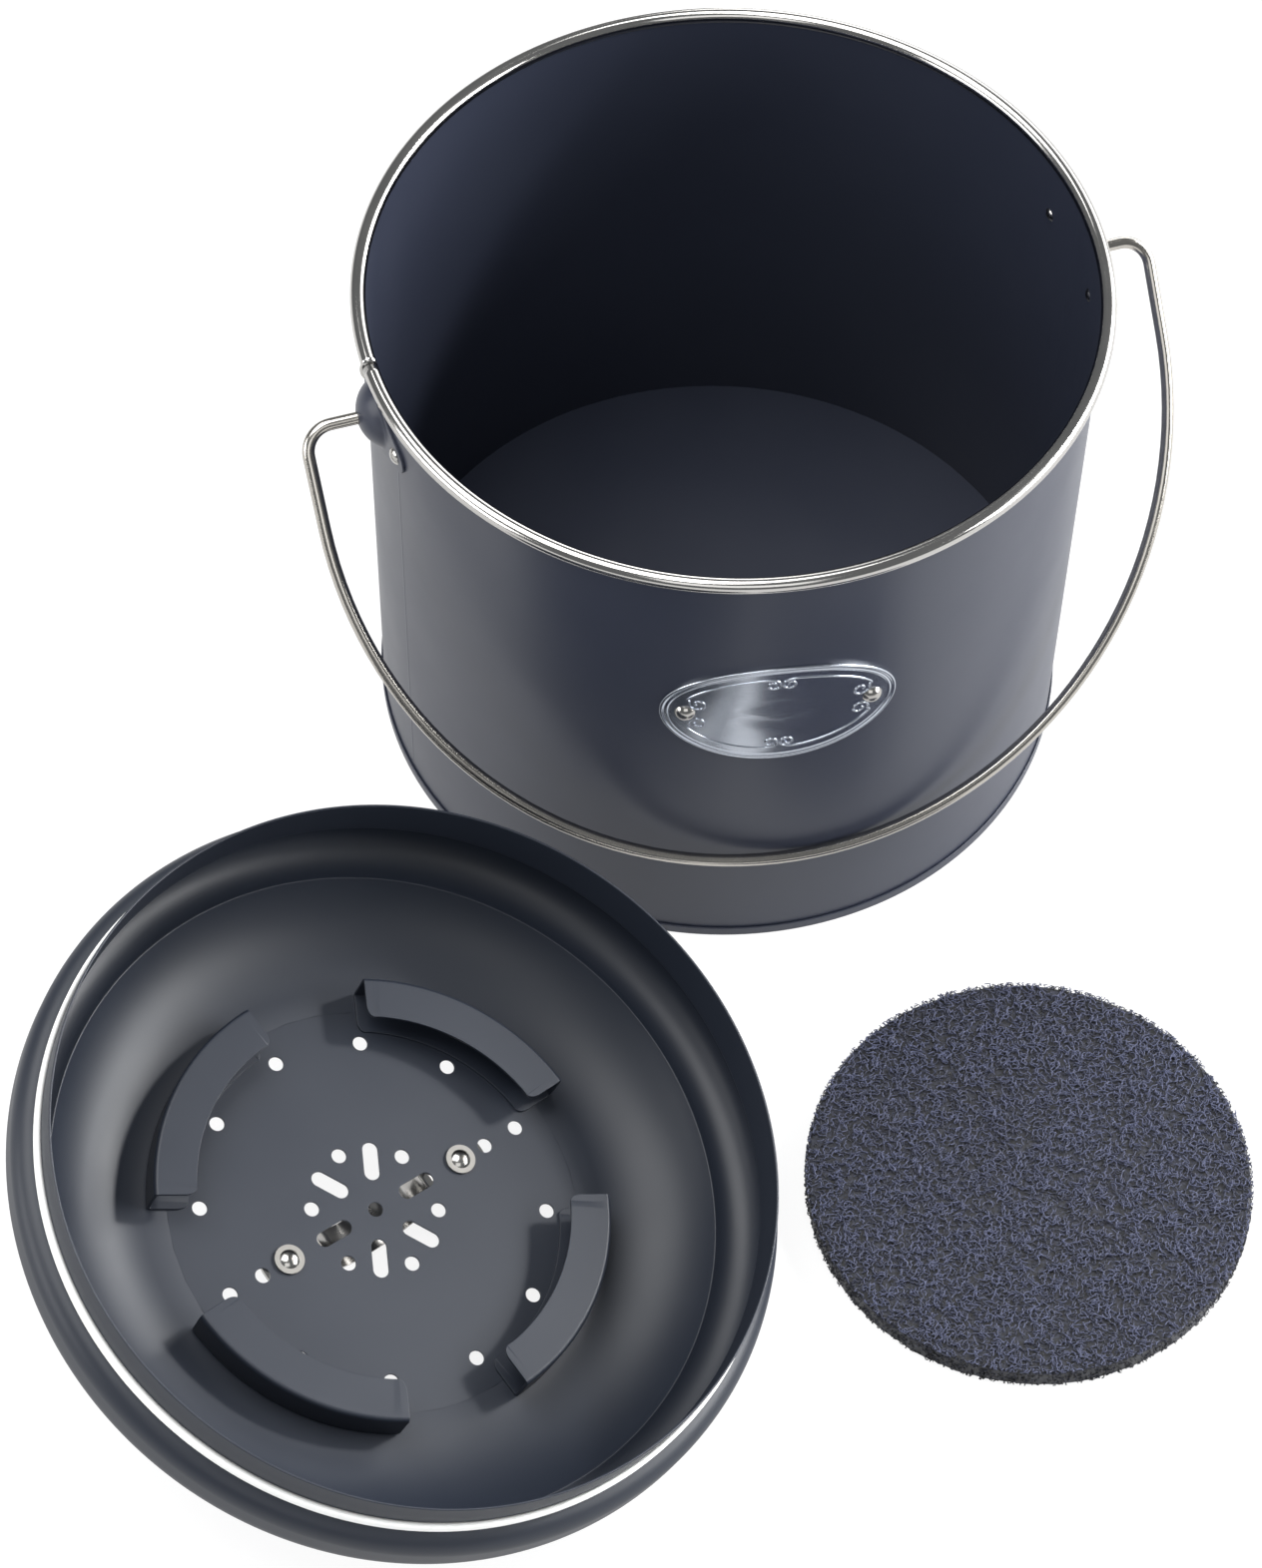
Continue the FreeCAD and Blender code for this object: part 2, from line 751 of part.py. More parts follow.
def lid_shell():
    # One pressing, seen underside up: flat middle, bowl, sharp crease, rolled edge, seat and upright skirt.
    body = new_body("lid_shell")
    bowl = lid_bowl_radius()
    roll_y = size("roll_height")
    skirt_top = skirt_foot + size("skirt_height")
    skirt_inside = skirt_radius - lid_sheet
    groove_x = lid_crease + size("lid_ridge_run")
    valley_x = lid_crease - size("lid_valley_run")
    groove_run = roll_centre - groove_x
    valley_run = roll_centre - valley_x
    roll_inside = roll_radius - lid_sheet
    groove_drop = root(roll_inside * roll_inside - groove_run * groove_run)
    valley_drop = root(roll_radius * roll_radius - valley_run * valley_run)
    section = new_sketch(body, "lid_section", "XZ_Plane")
    draw(section, [
        (ZERO, -lid_sheet),
        (lid_flat, -lid_sheet, bowl + lid_sheet, "left"),
        (valley_x, roll_y - valley_drop, roll_radius, "left"),
        (lid_outside, roll_y),
        (lid_outside, shoulder_height, shoulder, "left"),
        (shoulder_x, seat, skirt_bend, "right"),
        (skirt_radius, skirt_foot),
        (skirt_radius, skirt_top),
        (skirt_inside, skirt_top),
        (skirt_inside, skirt_foot, skirt_bend + lid_sheet, "left"),
        (shoulder_x, seat - lid_sheet, shoulder - lid_sheet, "right"),
        (lid_outside - lid_sheet, shoulder_height),
        (lid_outside - lid_sheet, roll_y, roll_inside, "right"),
        (groove_x, roll_y - groove_drop),
        (lid_crease, size("crease_height"), bowl, "right"),
        (lid_flat, ZERO),
        (ZERO, ZERO),
    ])
    revolve(body, section, "V_Axis")
    vent = size("vent_radius")
    middle = new_sketch(body, "middle_vent", "XY_Plane")
    draw_circle(middle, ZERO, ZERO, vent)
    cut_through(body, middle)
    slot = new_sketch(body, "vent_slot", "XY_Plane")
    slot_round = size("slot_width") / TWO
    slot_reach = size("slot_length") / TWO - slot_round
    slot_in = size("slot_ring") - slot_reach
    slot_out = size("slot_ring") + slot_reach
    draw(slot, [
        (slot_in, -slot_round),
        (slot_out, -slot_round, slot_round, "left"),
        (slot_out + slot_round, ZERO, slot_round, "left"),
        (slot_out, slot_round),
        (slot_in, slot_round, slot_round, "left"),
        (slot_in - slot_round, ZERO, slot_round, "left"),
    ])
    ring_of(body, cut_through(body, slot), slot, SLOT_COUNT)
    half_step = FULL_TURN / INNER_VENT_COUNT / 2
    rings = [
        ("inner_vent", size("vent_inner_ring"), half_step, INNER_VENT_COUNT, vent),
        ("outer_vent", clip_inside - size("vent_margin"), 0.0, OUTER_VENT_COUNT, vent),
        ("end_vent", size("vent_end_ring"), 0.0, HANDLE_END_COUNT, vent),
        ("handle_hole", strap_rivet_at, 0.0, HANDLE_END_COUNT, strap_hole_radius()),
    ]
    for name, ring, angle, count, radius in rings:
        hole = new_sketch(body, name, "XY_Plane", turn(ALONG_Z, angle))
        draw_circle(hole, ring, ZERO, radius)
        ring_of(body, cut_through(body, hole), hole, count)
    node(body, "lid_shell", lid_pose())


def strap_hole_radius():
    return size("strap_rivet_shank_radius") + rivet_clearance


def lid_seal():
    # The white ring round the root of the skirt, on the seat that comes down on the rim.
    body = new_body("lid_seal")
    outside = skirt_radius + size("seal_width")
    high = skirt_foot + size("seal_height")
    soft = size("seal_round")
    section = new_sketch(body, "seal_section", "XZ_Plane")
    draw(section, [
        (skirt_radius, skirt_foot, skirt_bend, "left"),
        (shoulder_x, seat),
        (outside - soft, seat, soft, "left"),
        (outside, seat + soft),
        (outside, high - soft, soft, "left"),
        (outside - soft, high),
        (skirt_radius, high),
    ])
    revolve(body, section, "V_Axis")
    node(body, "lid_seal", lid_pose())


def filter_clip(index):
    # A curved channel that holds the filter: foot, wall and lip of one sheet, bent twice, open to the middle.
    label = f"filter_clip_{index + 1}"
    body = new_body(label)
    tall = filter_thickness + size("clip_play") + clip_sheet * TWO
    bend = size("clip_bend")
    fold = bend + clip_sheet
    bend_at = clip_outside - fold
    wall_inner = clip_outside - clip_sheet
    section = new_sketch(body, "clip_section", "XZ_Plane")
    draw(section, [
        (clip_inside, ZERO),
        (bend_at, ZERO, fold, "left"),
        (clip_outside, fold),
        (clip_outside, tall - fold, fold, "left"),
        (bend_at, tall),
        (clip_inside, tall),
        (clip_inside, tall - clip_sheet),
        (bend_at, tall - clip_sheet, bend, "right"),
        (wall_inner, tall - fold),
        (wall_inner, fold, bend, "right"),
        (bend_at, clip_sheet),
        (clip_inside, clip_sheet),
    ])
    revolve(body, section, "V_Axis", size("clip_span_deg"), centred=True)
    middle = (clip_inside + clip_outside) / TWO

    def inner_corner(edge):
        at = edge.CenterOfMass
        return upright(edge) and math.hypot(at.x, at.y) < middle.number

    round_edges(body, size("clip_corner"), inner_corner)
    spin = size("clip_turn_deg").number + index * FULL_TURN / CLIP_COUNT
    node(body, label, lid_pose() * turn(ALONG_Z, spin))


def lid_handle():
    # A bent strap on the lid's top face: two flat feet with rounded ends and an arch for the fingers.
    body = new_body("lid_handle")
    end = strap_rivet_at + size("strap_foot_run")
    bend_at = strap_rivet_at - size("strap_bend_run")
    bend = size("strap_bend_radius")
    tall = size("strap_height")
    climb = tall - strap_sheet
    span = (bend_at * bend_at + climb * climb) / (climb * TWO)
    arch = span - bend
    lean_x = bend_at / span
    lean_y = (climb - span) / span
    face_x = bend_at - lean_x * bend
    face_y = strap_sheet + bend + lean_y * bend
    back_x = bend_at - lean_x * (bend + strap_sheet)
    back_y = strap_sheet + bend + lean_y * (bend + strap_sheet)
    hollow = arch - strap_sheet
    section = new_sketch(body, "strap_section", "XZ_Plane")
    draw(section, [
        (-end, ZERO),
        (-bend_at, ZERO, bend + strap_sheet, "left"),
        (-back_x, back_y, hollow, "right"),
        (ZERO, climb, hollow, "right"),
        (back_x, back_y, bend + strap_sheet, "left"),
        (bend_at, ZERO),
        (end, ZERO),
        (end, strap_sheet),
        (bend_at, strap_sheet, bend, "right"),
        (face_x, face_y, arch, "left"),
        (ZERO, tall, arch, "left"),
        (-face_x, face_y, bend, "right"),
        (-bend_at, strap_sheet),
        (-end, strap_sheet),
    ])
    pad_both_ways(body, section, size("strap_width"))

    def foot_corner(edge):
        return upright(edge) and abs(edge.CenterOfMass.x) > strap_rivet_at.number

    round_edges(body, size("strap_end_round"), foot_corner)
    for name, at in (("left_foot_hole", -strap_rivet_at), ("right_foot_hole", strap_rivet_at)):
        hole = new_sketch(body, name, "XY_Plane")
        draw_circle(hole, at, ZERO, strap_hole_radius())
        cut_through(body, hole)
    upside_down = turn(ALONG_X, FULL_TURN / 2)
    node(body, "lid_handle", lid_pose() * shift(ZERO, ZERO, -lid_sheet) * upside_down)


def lid_handle_rivets():
    # Blind rivets: a domed head with its mandrel hole on the washer, and a set end under the strap's foot.
    body = new_body("lid_handle_rivet")
    head = size("strap_rivet_head_radius")
    rise = size("strap_rivet_head_height")
    shank = size("strap_rivet_shank_radius")
    tail = size("strap_rivet_tail_radius")
    tail_rise = size("strap_rivet_tail_height")
    mandrel = size("mandrel_radius")
    under = lid_sheet + strap_sheet
    head_ball = (head * head + rise * rise) / (rise * TWO)
    tail_ball = (tail * tail + tail_rise * tail_rise) / (tail_rise * TWO)
    ball_centre = washer_sheet + rise - head_ball
    rim = ball_centre + root(head_ball * head_ball - mandrel * mandrel)
    section = new_sketch(body, "blind_rivet_section", "XZ_Plane")
    draw(section, [
        (ZERO, -(under + tail_rise), tail_ball, "left"),
        (tail, -under),
        (shank, -under),
        (shank, washer_sheet),
        (head, washer_sheet, head_ball, "left"),
        (mandrel, rim),
        (mandrel, rim - size("mandrel_depth")),
        (ZERO, rim - size("mandrel_depth")),
    ])
    revolve(body, section, "V_Axis")
    body.Placement = shift(strap_rivet_at, ZERO, ZERO)
    mirrored_pair(body, "lid_handle_rivets", ALONG_X, lid_pose())


def lid_handle_washers():
    # Flat washers between the rivet heads and the underside of the lid.
    body = new_body("lid_handle_washer")
    inside = strap_hole_radius()
    outside = size("washer_radius")
    section = new_sketch(body, "washer_section", "XZ_Plane")
    draw(section, [
        (inside, ZERO),
        (outside, ZERO),
        (outside, washer_sheet),
        (inside, washer_sheet),
    ])
    revolve(body, section, "V_Axis")
    body.Placement = shift(strap_rivet_at, ZERO, ZERO)
    mirrored_pair(body, "lid_handle_washers", ALONG_X, lid_pose())


def charcoal_filter():
    # The round fibre pad, cut to slide under the clips' lips.
    body = new_body("charcoal_filter")
    soft = size("filter_round")
    section = new_sketch(body, "pad_section", "XZ_Plane")
    draw(section, [
        (ZERO, ZERO),
        (filter_radius - soft, ZERO, soft, "left"),
        (filter_radius, soft),
        (filter_radius, filter_thickness - soft, soft, "left"),
        (filter_radius - soft, filter_thickness),
        (ZERO, filter_thickness),
    ])
    revolve(body, section, "V_Axis")
    node(body, "charcoal_filter", beside_pail(filter_radius, "filter"))


pail_body()
pail_base()
rim_bead()
for index, side in enumerate(("right", "left")):
    facing_deg = index * FULL_TURN / EAR_COUNT
    ear(f"{side}_ear", turn(ALONG_Z, facing_deg))
    wall_rivet_pair(
        f"{side}_ear_rivets", "ear_rivet", ear_face, ear_height, ear_rivet_at, facing_deg
    )
bail_wire()
nameplate()
wall_rivet_pair(
    "nameplate_rivets", "plate_rivet", plate_face, plate_height, plate_rivet_at, plate_middle_deg
)
lid_shell()
lid_seal()
for index in range(CLIP_COUNT):
    filter_clip(index)
lid_handle()
lid_handle_rivets()
lid_handle_washers()
charcoal_filter()

doc.recompute()
for made in doc.Objects:
    if "Invalid" in made.State or "Error" in made.State:
        raise ValueError(f"{made.Label} failed: {made.State}")
for made in nodes:
    if made.Shape.isNull() or not made.Shape.isValid():
        raise ValueError(f"{made.Label} has no valid shape")
for made in nodes:
    made.Shape.exportStep(f"parts/{made.Label}.step")
    print(made.Label, len(made.Shape.Solids), round(made.Shape.Volume, 1))
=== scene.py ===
import math
import random

import bmesh
import bpy
from mathutils import Matrix, Vector, noise


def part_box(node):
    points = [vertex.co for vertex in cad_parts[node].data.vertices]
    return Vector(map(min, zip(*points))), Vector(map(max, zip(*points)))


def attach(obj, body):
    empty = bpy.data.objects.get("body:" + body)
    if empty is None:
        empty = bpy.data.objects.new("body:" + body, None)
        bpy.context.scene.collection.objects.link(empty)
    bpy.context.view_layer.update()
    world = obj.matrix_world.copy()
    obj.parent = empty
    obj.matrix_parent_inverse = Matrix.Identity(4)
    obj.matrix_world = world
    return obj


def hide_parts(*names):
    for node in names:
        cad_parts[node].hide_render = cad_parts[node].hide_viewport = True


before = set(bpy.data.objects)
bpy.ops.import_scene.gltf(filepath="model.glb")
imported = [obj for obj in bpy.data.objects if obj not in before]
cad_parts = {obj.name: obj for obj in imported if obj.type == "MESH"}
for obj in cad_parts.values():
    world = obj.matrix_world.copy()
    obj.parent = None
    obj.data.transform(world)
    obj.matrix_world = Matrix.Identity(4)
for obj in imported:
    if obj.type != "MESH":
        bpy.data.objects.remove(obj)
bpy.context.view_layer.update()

# Pail wall
# The straight wall is one sheet of steel, rolled to a cylinder and welded down its left side.
# It is powder coated in slate, inside and out: a satin paint with a faint orange peel.
MM = 0.001
WALL_RADIUS = 121.0
WALL_SHEET = 0.8


def linear(hex_colour):
    # A colour written as sRGB hex, as the linear numbers that a shader takes.
    parts = [int(hex_colour[at:at + 2], 16) / 255 for at in (1, 3, 5)]
    made = [p / 12.92 if p <= 0.04045 else ((p + 0.055) / 1.055) ** 2.4 for p in parts]
    return (*made, 1.0)


def add_node(tree, kind, settings=None, inputs=None):
    # Adds one shader node with its settings, and fills each input with a value or a link.
    made = tree.nodes.new(kind)
    for name, value in (settings or {}).items():
        setattr(made, name, value)
    for name, value in (inputs or {}).items():
        if isinstance(value, bpy.types.NodeSocket):
            tree.links.new(value, made.inputs[name])
        else:
            made.inputs[name].default_value = value
    return made


def start_material(name):
    # A new material with an empty node tree.
    made = bpy.data.materials.new(name)
    made.use_nodes = True
    made.node_tree.nodes.clear()
    return made, made.node_tree


def powder_coat(name, thin_film, thick_film, gloss):
    # Powder coat: thermoset paint sprayed dry and baked on sheet steel. It gives the eye a soft satin gloss
    # over a very dark blue-grey, with a fine orange peel and faint clouds where the film is thicker.
    material, tree = start_material(name)
    place = add_node(tree, "ShaderNodeTexCoord").outputs["Object"]
    peel_mm = 1.1
    peel_deep_mm = 0.05
    cloud_mm = 40
    peel = add_node(
        tree, "ShaderNodeTexNoise", None, {"Vector": place, "Scale": 1 / (peel_mm * MM), "Detail": 2},
    )
    clouds = add_node(
        tree, "ShaderNodeTexNoise", None, {"Vector": place, "Scale": 1 / (cloud_mm * MM), "Detail": 4},
    )
    colour = add_node(
        tree, "ShaderNodeMix", {"data_type": "RGBA"},
        {0: clouds.outputs[0], 6: linear(thin_film), 7: linear(thick_film)},
    )
    rough = add_node(
        tree, "ShaderNodeMapRange", None,
        {0: clouds.outputs[0], 1: 0.3, 2: 0.7, 3: gloss[0], 4: gloss[1]},
    )
    bump = add_node(
        tree, "ShaderNodeBump", None,
        {"Strength": 0.12, "Distance": peel_deep_mm * MM, "Height": peel.outputs[0]},
    )
    paint = add_node(tree, "ShaderNodeBsdfPrincipled", None, {
        "Base Color": colour.outputs[2], "Roughness": rough.outputs[0], "IOR": 1.5,
        "Specular IOR Level": 0.45, "Normal": bump.outputs[0],
    })
    add_node(tree, "ShaderNodeOutputMaterial", None, {"Surface": paint.outputs[0]})
    return material


slate_paint = powder_coat("slate_powder_coat", "#282C39", "#2C303D", (0.34, 0.40))


def refinish(node, material):
    # A node whose shape is right stays, and takes the finish.
    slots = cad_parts[node].data.materials
    slots.clear()
    slots.append(material)


refinish("pail_body", slate_paint)


# Side seam
# The weld where the rolled wall's two edges meet: a low, slightly uneven bead under the paint,
# from the seam of the base up to the left ear.
SEAM_WIDTH = 1.6
SEAM_RISE = 0.14
SEAM_TURN = math.radians(-171)
SEAM_LOW = 6.0
SEAM_HIGH = 176.0
SEAM_STEPS = 60
SEAM_WANDER = 0.03
SEAM_WANDER_PACE = 0.7
WALL_BITE = 0.05


def add_piece(name, shape, material, body, stands_for=()):
    # Turns a finished bmesh into a piece at the origin that rides on its body. Its flats shade flat.
    mesh = bpy.data.meshes.new(name)
    shape.to_mesh(mesh)
    shape.free()
    for face in mesh.polygons:
        face.use_smooth = True
    mesh.materials.append(material)
    made = bpy.data.objects.new(name, mesh)
    bpy.context.scene.collection.objects.link(made)
    made.modifiers.new("flat_shading", "WEIGHTED_NORMAL").keep_sharp = True
    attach(made, body)
    if stands_for:
        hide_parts(*stands_for)
    return made


def join_row(shape, points):
    # New points in a bmesh, joined in a row by edges.
    row = [shape.verts.new(point) for point in points]
    for one, two in zip(row, row[1:]):
        shape.edges.new((one, two))
    return row


def draw_out(shape, edges):
    # Extrudes a row of edges on the spot, and gives the new edges and their points.
    grown = bmesh.ops.extrude_edge_only(shape, edges=edges)["geom"]
    new_edges = [part for part in grown if isinstance(part, bmesh.types.BMEdge)]
    new_points = [part for part in grown if isinstance(part, bmesh.types.BMVert)]
    return new_edges, new_points


seam = bmesh.new()
bead = []
for share in (-1.0, -0.6, -0.2, 0.2, 0.6, 1.0):
    angle = SEAM_TURN + share * SEAM_WIDTH / 2 / WALL_RADIUS
    out = WALL_RADIUS - WALL_BITE + SEAM_RISE * math.cos(share * math.pi / 2)
    bead.append(Vector((out * math.cos(angle), out * math.sin(angle), SEAM_LOW)) * MM)
join_row(seam, bead)
edges = seam.edges[:]
climb = Vector((0, 0, (SEAM_HIGH - SEAM_LOW) / SEAM_STEPS))
sideways = Vector((-math.sin(SEAM_TURN), math.cos(SEAM_TURN), 0))
for step in range(SEAM_STEPS):
    edges, raised = draw_out(seam, edges)
    wander = noise.noise(Vector((0, 0, step * SEAM_WANDER_PACE))) * SEAM_WANDER
    bmesh.ops.translate(seam, verts=raised, vec=(climb + sideways * wander) * MM)
bmesh.ops.recalc_face_normals(seam, faces=seam.faces)
add_piece("side_seam", seam, slate_paint, "pail")


# Pail base
# A raised floor pressed from sheet, its edge folded down, out and up round the foot of the wall.
# The fold is the thin lip that the pail stands on, and it is painted with the wall.
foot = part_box("pail_base")[1] / MM
FULL_TURN = 2 * math.pi
FOLD_HIGH = 4.2
FOLD_ROUND = 0.4
FLOOR_SHEET = 0.8
FLOOR_TUCK = 0.1
FLOOR_TUCK_DEEP = 0.3
BASE_STEPS = 192
WELD_WITHIN = 0.002


def turned(outline, steps, angle=FULL_TURN):
    # Spins a closed outline of (radius, height) points in mm round the upright axis.
    shape = bmesh.new()
    row = join_row(shape, [(radius * MM, 0, height * MM) for radius, height in outline])
    shape.edges.new((row[-1], row[0]))
    whole = math.isclose(angle, FULL_TURN)
    bmesh.ops.spin(
        shape, geom=shape.verts[:] + shape.edges[:], cent=(0, 0, 0), axis=(0, 0, 1),
        angle=angle, steps=steps, use_merge=whole,
    )
    bmesh.ops.remove_doubles(shape, verts=shape.verts, dist=WELD_WITHIN * MM)
    if not whole:
        bmesh.ops.holes_fill(shape, edges=[edge for edge in shape.edges if edge.is_boundary])
    bmesh.ops.recalc_face_normals(shape, faces=shape.faces)
    return shape


def arc(centre, radius, start, finish, steps):
    # Points round part of a circle in an outline, from one angle in degrees to another.
    made = []
    for step in range(steps + 1):
        angle = math.radians(start + (finish - start) * step / steps)
        made.append((centre[0] + radius * math.cos(angle), centre[1] + radius * math.sin(angle)))
    return made


wall_inside = WALL_RADIUS - WALL_SHEET
wall_middle = WALL_RADIUS - WALL_SHEET / 2
leg_inside = wall_inside - FLOOR_SHEET
outline = [(0, foot.z - FLOOR_SHEET), (leg_inside, foot.z - FLOOR_SHEET)]
outline += arc((leg_inside + FOLD_ROUND, FOLD_ROUND), FOLD_ROUND, 180, 270, 4)
outline += arc((foot.x - FOLD_ROUND, FOLD_ROUND), FOLD_ROUND, -90, 0, 4)
outline += arc((foot.x - FOLD_ROUND, FOLD_HIGH - FOLD_ROUND), FOLD_ROUND, 0, 90, 4)
outline += [(WALL_RADIUS, FOLD_HIGH - FOLD_ROUND), (wall_middle, FOLD_HIGH - FOLD_ROUND)]
outline += [(wall_middle, foot.z - FLOOR_TUCK_DEEP), (wall_inside + FLOOR_TUCK, foot.z), (0, foot.z)]
base = turned(outline, BASE_STEPS)
add_piece("pail_base_pressing", base, slate_paint, "pail", ["pail_base"])


# Rim ring
# A strip of stainless steel, rolled to a round bead, slipped over the wall's raw edge and polished.
# Its two ends butt together above the left ear.
rim_low, rim_high = (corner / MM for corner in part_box("rim_bead"))
RIM_RADIUS = (rim_high.z - rim_low.z) / 2
RIM_JOINT = math.radians(0.2)
RIM_SIDES = 24
RIM_STEPS = 288
rim_middle = rim_high.x - RIM_RADIUS


def stainless(name, colour, gloss, mark_mm, mark_strength):
    # Stainless steel, drawn or pressed and then polished. It gives the eye clear reflections that
    # soften in places, with fine marks from the die and the polishing wheel.
    material, tree = start_material(name)
    place = add_node(tree, "ShaderNodeTexCoord").outputs["Object"]
    mark_deep_mm = 0.02
    smear_mm = 25
    marks = add_node(
        tree, "ShaderNodeTexNoise", None, {"Vector": place, "Scale": 1 / (mark_mm * MM), "Detail": 4},
    )
    smears = add_node(
        tree, "ShaderNodeTexNoise", None, {"Vector": place, "Scale": 1 / (smear_mm * MM), "Detail": 2},
    )
    rough = add_node(
        tree, "ShaderNodeMapRange", None,
        {0: smears.outputs[0], 1: 0.3, 2: 0.7, 3: gloss[0], 4: gloss[1]},
    )
    bump = add_node(
        tree, "ShaderNodeBump", None,
        {"Strength": mark_strength, "Distance": mark_deep_mm * MM, "Height": marks.outputs[0]},
    )
    steel = add_node(tree, "ShaderNodeBsdfPrincipled", None, {
        "Base Color": linear(colour), "Metallic": 1.0, "Roughness": rough.outputs[0],
        "Normal": bump.outputs[0],
    })
    add_node(tree, "ShaderNodeOutputMaterial", None, {"Surface": steel.outputs[0]})
    return material


polished_steel = stainless("polished_stainless", "#C2C0BD", (0.10, 0.17), 1.5, 0.05)
section_end = 360 - 360 / RIM_SIDES
section = arc((rim_middle, rim_high.z - RIM_RADIUS), RIM_RADIUS, 0, section_end, RIM_SIDES - 1)
rim = turned(section, RIM_STEPS, FULL_TURN - RIM_JOINT)
bmesh.ops.rotate(rim, verts=rim.verts, cent=(0, 0, 0), matrix=Matrix.Rotation(math.pi, 3, "Z"))
add_piece("rim_ring", rim, polished_steel, "pail", ["rim_bead"])


# Ears
# Two pressings of painted sheet, each a round dome that takes the bail's end and a flange with two lobes.
# A rivet through each lobe holds the ear to the wall, and the flange is bent to the wall's curve.
ear_low, ear_high = (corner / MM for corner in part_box("right_ear"))
EAR_SHEET = 1.0
EAR_MIDDLE = (ear_high.z - ear_low.z) / 2
EAR_LOBE = 6.0
EAR_RIVET_AT = ear_high.y - EAR_LOBE
EAR_DOME = 12.0
EAR_DOME_RISE = 7.0
EAR_FILLET = 1.6
EAR_EDGE_ROUND = 0.35
EAR_EDGE_EASE = 0.1
EYE_RADIUS = 2.2
EAR_STEPS = 96
ear_height = (ear_high.z + ear_low.z) / 2


def ear_reach(angle):
    # How far the flange's outline lies from the dome's middle, in a direction round the ear.
    lean = math.asin((EAR_MIDDLE - EAR_LOBE) / EAR_RIVET_AT)
    angle = abs(math.remainder(angle, math.pi))
    tip = math.atan2(EAR_LOBE * math.cos(lean), EAR_RIVET_AT + EAR_LOBE * math.sin(lean))
    if angle < tip:
        along = EAR_RIVET_AT * math.cos(angle)
        return along + math.sqrt(EAR_LOBE ** 2 - (EAR_RIVET_AT * math.sin(angle)) ** 2)
    if angle < math.pi / 2 - lean:
        return EAR_MIDDLE / math.cos(angle - (math.pi / 2 - lean))
    return EAR_MIDDLE


def wrap_on_wall(shape, height, turn):
    # Takes a shape drawn flat, as (out, along, up) in mm, round the pail's wall.
    for vert in shape.verts:
        out, along, up = vert.co
        angle = turn + math.asin(along / WALL_RADIUS)
        radius = WALL_RADIUS + out
        vert.co = Vector((radius * math.cos(angle), radius * math.sin(angle), height + up)) * MM


ball = (EAR_DOME ** 2 + EAR_DOME_RISE ** 2) / (2 * EAR_DOME_RISE)
ball_middle = EAR_DOME_RISE - ball
fillet_out = EAR_SHEET + EAR_FILLET
fillet_at = math.sqrt((ball + EAR_FILLET) ** 2 - (fillet_out - ball_middle) ** 2)
touch = math.degrees(math.atan2(fillet_out - ball_middle, fillet_at))
dome = [(EYE_RADIUS, ball_middle + math.sqrt(ball ** 2 - EYE_RADIUS ** 2) - EAR_SHEET)]
dome += arc((0, ball_middle), ball, math.degrees(math.acos(EYE_RADIUS / ball)), touch, 14)
dome += arc((fillet_at, fillet_out), EAR_FILLET, touch + 180, 270, 5)[1:]
# Each ring of the flange: its share of the way from dome to outline, its height, and its inset there.
rings = [(0.3, EAR_SHEET, 0), (0.6, EAR_SHEET, 0), (1, EAR_SHEET, EAR_EDGE_ROUND)]
rings += [(1, EAR_SHEET - EAR_EDGE_EASE, EAR_EDGE_EASE), (1, EAR_SHEET - EAR_EDGE_ROUND, 0)]
rings += [(1, -WALL_BITE, 0)]
for side, turn in (("right", 0.0), ("left", math.pi)):
    ear = bmesh.new()
    join_row(ear, [(out, radius, 0) for radius, out in dome])
    bmesh.ops.spin(
        ear, geom=ear.verts[:] + ear.edges[:], cent=(0, 0, 0), axis=(1, 0, 0),
        angle=FULL_TURN, steps=EAR_STEPS, use_merge=True,
    )
    edges = [
        edge for edge in ear.edges
        if edge.is_boundary and edge.verts[0].co.yz.length > EYE_RADIUS * 2
    ]
    dome_foot = edges[0].verts[0].co.yz.length
    for share, out, inset in rings:
        edges, points = draw_out(ear, edges)
        for point in points:
            angle = math.atan2(point.co.z, point.co.y)
            radius = dome_foot + (ear_reach(angle) - inset - dome_foot) * share
            point.co = (out, radius * math.cos(angle), radius * math.sin(angle))
    wrap_on_wall(ear, ear_height, turn)
    bmesh.ops.recalc_face_normals(ear, faces=ear.faces)
    add_piece(f"{side}_ear_pressing", ear, slate_paint, "pail", [f"{side}_ear"])


# Ear rivets
# Solid steel rivets, one through each lobe, their domed heads left bare on the painted ear.
rivet_steel = stainless("rivet_steel", "#B6B4B0", (0.14, 0.24), 0.6, 0.12)
refinish("left_ear_rivets", rivet_steel)
refinish("right_ear_rivets", rivet_steel)


# Nameplate
# An oval of polished sheet steel, stamped with a double edge line and a scrolled border.
# It is bent to the wall's curve and held by a rivet near each end.
plate_low, plate_high = (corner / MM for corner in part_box("nameplate"))
PLATE_HALF_LENGTH = 38.6
PLATE_HALF_HEIGHT = (plate_high.z - plate_low.z) / 2
PLATE_SHEET = 0.8
PLATE_TURN = math.radians(-99.7)
PLATE_STEPS = 192
FIELD_INSET = 3.0
FIELD_RINGS = 16
FIELD_RING_WIDTH = 1.2
FIELD_CLOSING = 6
plate_height = (plate_high.z + plate_low.z) / 2

plate = bmesh.new()
bmesh.ops.create_circle(plate, segments=PLATE_STEPS, radius=1)
edges = plate.edges[:]
for vert in plate.verts:
    vert.co = (-WALL_BITE, PLATE_HALF_LENGTH * vert.co.x, PLATE_HALF_HEIGHT * vert.co.y)
